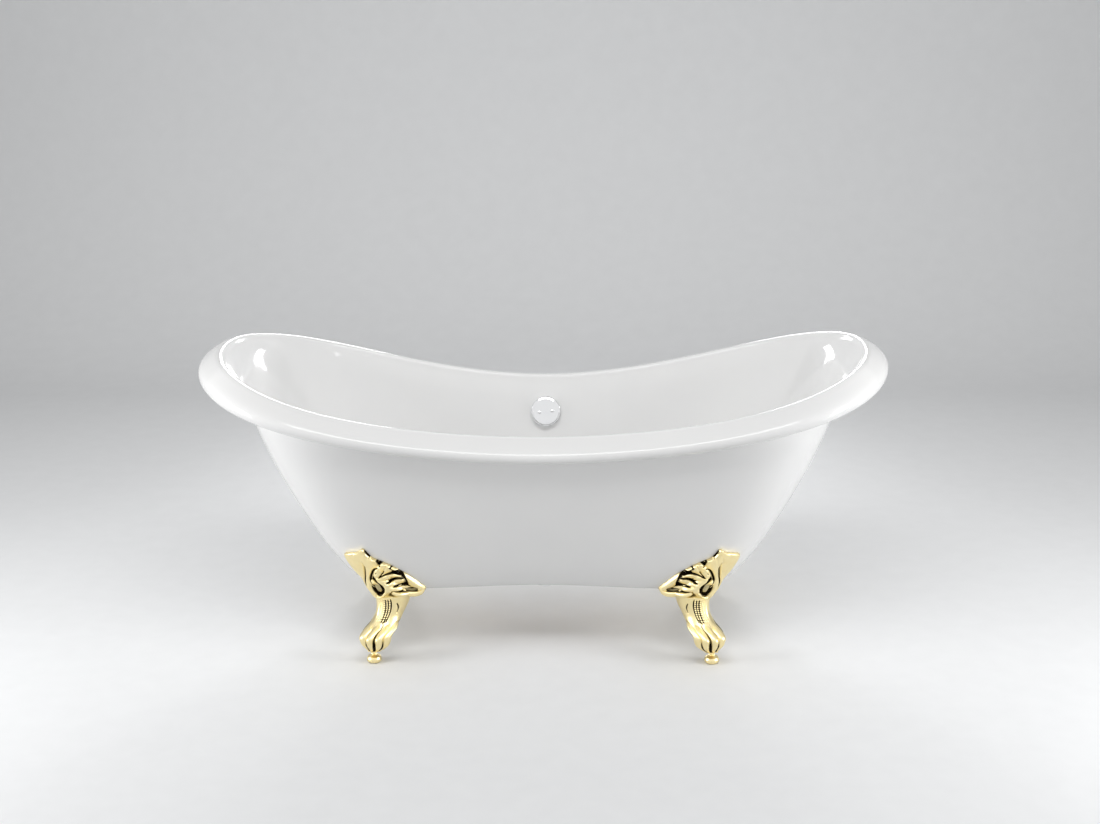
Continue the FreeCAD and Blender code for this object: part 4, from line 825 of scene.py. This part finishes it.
def grey_nylon():
    """Moulded nylon: a dull mid grey with the spark-eroded grain of its mould, drawn 1 mm wide to show."""
    nylon = new_material("grey_nylon")
    place = add_node(nylon, "ShaderNodeTexCoord").outputs["Object"]
    cloud = add_node(nylon, "ShaderNodeTexNoise", Vector=place, Scale=1 / (25 * MM), Detail=2.0)
    tone = add_node(nylon, "ShaderNodeMix", {"data_type": "RGBA"}, _0=cloud.outputs["Fac"],
                    _6=linear("55585B"), _7=linear("5E6164"))
    grain = add_node(nylon, "ShaderNodeTexNoise", Vector=place, Scale=1 / (1 * MM), Detail=2.0)
    pits = add_node(nylon, "ShaderNodeBump", Height=grain.outputs["Fac"], Distance=0.06 * MM, Strength=1.0)
    shader = add_node(nylon, "ShaderNodeBsdfPrincipled", Base_Color=tone.outputs[2], Roughness=0.5, IOR=1.53,
                      Normal=pits.outputs["Normal"])
    add_node(nylon, "ShaderNodeOutputMaterial", Surface=shader.outputs[0])
    return nylon


brass_finish = turned_brass()
paint([f"leveller_stud_{side}" for side in SIDES], gold_finish)
paint([f"thread_insert_{side}" for side in SIDES], brass_finish)
paint([f"floor_glide_{side}" for side in SIDES], grey_nylon())


# ---------------------------------------------------------------------------------------------------------
# Base board, brackets and fixings.  A birch plywood board lies bonded under the basin's floor.  Four folded
# brackets of zinc-plated steel are screwed to it, and two bolts hold each foot to its bracket.
# ---------------------------------------------------------------------------------------------------------
def birch_plywood():
    """Sanded birch veneer: pale cream and tan, with long darker growth lines along the board."""
    wood = new_material("birch_plywood")
    place = add_node(wood, "ShaderNodeTexCoord").outputs["Object"]
    stretched = add_node(wood, "ShaderNodeMapping", Vector=place, Scale=(1.0, 14.0, 1.0))
    grain = add_node(wood, "ShaderNodeTexNoise", Vector=stretched.outputs["Vector"], Scale=1 / (110 * MM),
                     Detail=6.0)
    streaks = add_node(wood, "ShaderNodeMapRange", _0=grain.outputs["Fac"], _1=0.3, _2=0.7, _3=0.0, _4=1.0)
    tone = add_node(wood, "ShaderNodeMix", {"data_type": "RGBA"}, _0=streaks.outputs[0],
                    _6=linear("C7A374"), _7=linear("DFC49A"))
    pores = add_node(wood, "ShaderNodeBump", Height=grain.outputs["Fac"], Distance=0.25 * MM, Strength=1.0)
    shader = add_node(wood, "ShaderNodeBsdfPrincipled", Base_Color=tone.outputs[2], Roughness=0.62,
                      Normal=pores.outputs["Normal"])
    add_node(wood, "ShaderNodeOutputMaterial", Surface=shader.outputs[0])
    return wood


def zinc_plated_steel():
    """Bright zinc plating: a cool grey, with a faint spangle about 4 mm across."""
    steel = new_material("zinc_plated_steel")
    place = add_node(steel, "ShaderNodeTexCoord").outputs["Object"]
    spangle = add_node(steel, "ShaderNodeTexVoronoi", Vector=place, Scale=1 / (4 * MM))
    tone = add_node(steel, "ShaderNodeMix", {"data_type": "RGBA"}, _0=spangle.outputs["Distance"],
                    _6=linear("B9BDC2"), _7=linear("CFD2D4"))
    haze = add_node(steel, "ShaderNodeTexNoise", Vector=place, Scale=1 / (5 * MM), Detail=2.0)
    polish = add_node(steel, "ShaderNodeMapRange", _0=haze.outputs["Fac"], _1=0.3, _2=0.7, _3=0.28, _4=0.40)
    shader = add_node(steel, "ShaderNodeBsdfPrincipled", Base_Color=tone.outputs[2], Metallic=1.0,
                      Roughness=polish.outputs[0])
    add_node(steel, "ShaderNodeOutputMaterial", Surface=shader.outputs[0])
    return steel


paint(["base_board"], birch_plywood())
brackets = [f"foot_bracket_{side}" for side in SIDES]
paint(["foot_bolts", "foot_washers", "foot_nuts", "board_screws"] + brackets, zinc_plated_steel())


# ---------------------------------------------------------------------------------------------------------
# Waste, plug and overflow.  Chrome-plated brass wherever they show, and moulded polypropylene between the
# shells.  Each is clamped through its hole in the acrylic between a pair of rubber seals.
# ---------------------------------------------------------------------------------------------------------
def chromed_brass():
    """Chromium over polished brass: a cold bright mirror, with the faintest haze of the buffing wheel."""
    chrome = new_material("chromed_brass")
    place = add_node(chrome, "ShaderNodeTexCoord").outputs["Object"]
    cloud = add_node(chrome, "ShaderNodeTexNoise", Vector=place, Scale=1 / (30 * MM), Detail=2.0)
    tone = add_node(chrome, "ShaderNodeMix", {"data_type": "RGBA"}, _0=cloud.outputs["Fac"],
                    _6=linear("EDEEF0"), _7=linear("F4F5F6"))
    haze = add_node(chrome, "ShaderNodeTexNoise", Vector=place, Scale=1 / (8 * MM), Detail=2.0)
    polish = add_node(chrome, "ShaderNodeMapRange", _0=haze.outputs["Fac"], _1=0.3, _2=0.7, _3=0.05, _4=0.10)
    shader = add_node(chrome, "ShaderNodeBsdfPrincipled", Base_Color=tone.outputs[2], Metallic=1.0,
                      Roughness=polish.outputs[0])
    add_node(chrome, "ShaderNodeOutputMaterial", Surface=shader.outputs[0])
    return chrome


def black_rubber():
    """Moulded nitrile rubber: near black and dull, with a fine grain drawn 0.8 mm wide to show."""
    rubber = new_material("black_rubber")
    place = add_node(rubber, "ShaderNodeTexCoord").outputs["Object"]
    cloud = add_node(rubber, "ShaderNodeTexNoise", Vector=place, Scale=1 / (25 * MM), Detail=2.0)
    tone = add_node(rubber, "ShaderNodeMix", {"data_type": "RGBA"}, _0=cloud.outputs["Fac"],
                    _6=linear("1C1D1E"), _7=linear("242526"))
    grain = add_node(rubber, "ShaderNodeTexNoise", Vector=place, Scale=1 / (0.8 * MM), Detail=2.0)
    pits = add_node(rubber, "ShaderNodeBump", Height=grain.outputs["Fac"], Distance=0.06 * MM, Strength=1.0)
    shader = add_node(rubber, "ShaderNodeBsdfPrincipled", Base_Color=tone.outputs[2], Roughness=0.75,
                      IOR=1.52, Normal=pits.outputs["Normal"])
    add_node(rubber, "ShaderNodeOutputMaterial", Surface=shader.outputs[0])
    return rubber


def white_polypropylene():
    """Moulded polypropylene: a waxy off-white, hazy rather than glossy, with faint flow marks 25 mm long."""
    plastic = new_material("white_polypropylene")
    place = add_node(plastic, "ShaderNodeTexCoord").outputs["Object"]
    flow = add_node(plastic, "ShaderNodeTexNoise", Vector=place, Scale=1 / (25 * MM), Detail=2.0)
    tone = add_node(plastic, "ShaderNodeMix", {"data_type": "RGBA"}, _0=flow.outputs["Fac"],
                    _6=linear("D9DAD7"), _7=linear("E2E3E0"))
    grain = add_node(plastic, "ShaderNodeTexNoise", Vector=place, Scale=1 / (1.2 * MM), Detail=2.0)
    pits = add_node(plastic, "ShaderNodeBump", Height=grain.outputs["Fac"], Distance=0.06 * MM, Strength=1.0)
    shader = add_node(plastic, "ShaderNodeBsdfPrincipled", Base_Color=tone.outputs[2], Roughness=0.45,
                      IOR=1.49, Normal=pits.outputs["Normal"])
    add_node(plastic, "ShaderNodeOutputMaterial", Surface=shader.outputs[0])
    return plastic


paint(["waste_flange", "plug_cap", "overflow_cover", "overflow_screws", "tailpiece", "tailpiece_nut"],
      chromed_brass())
paint(["waste_upper_seal", "waste_lower_seal", "plug_seal", "tailpiece_seal", "overflow_front_gasket",
       "overflow_back_gasket"], black_rubber())
paint(["waste_body", "overflow_elbow", "overflow_hose", "hose_nuts"], white_polypropylene())
paint(["plug_stem", "plug_cartridge"], brass_finish)
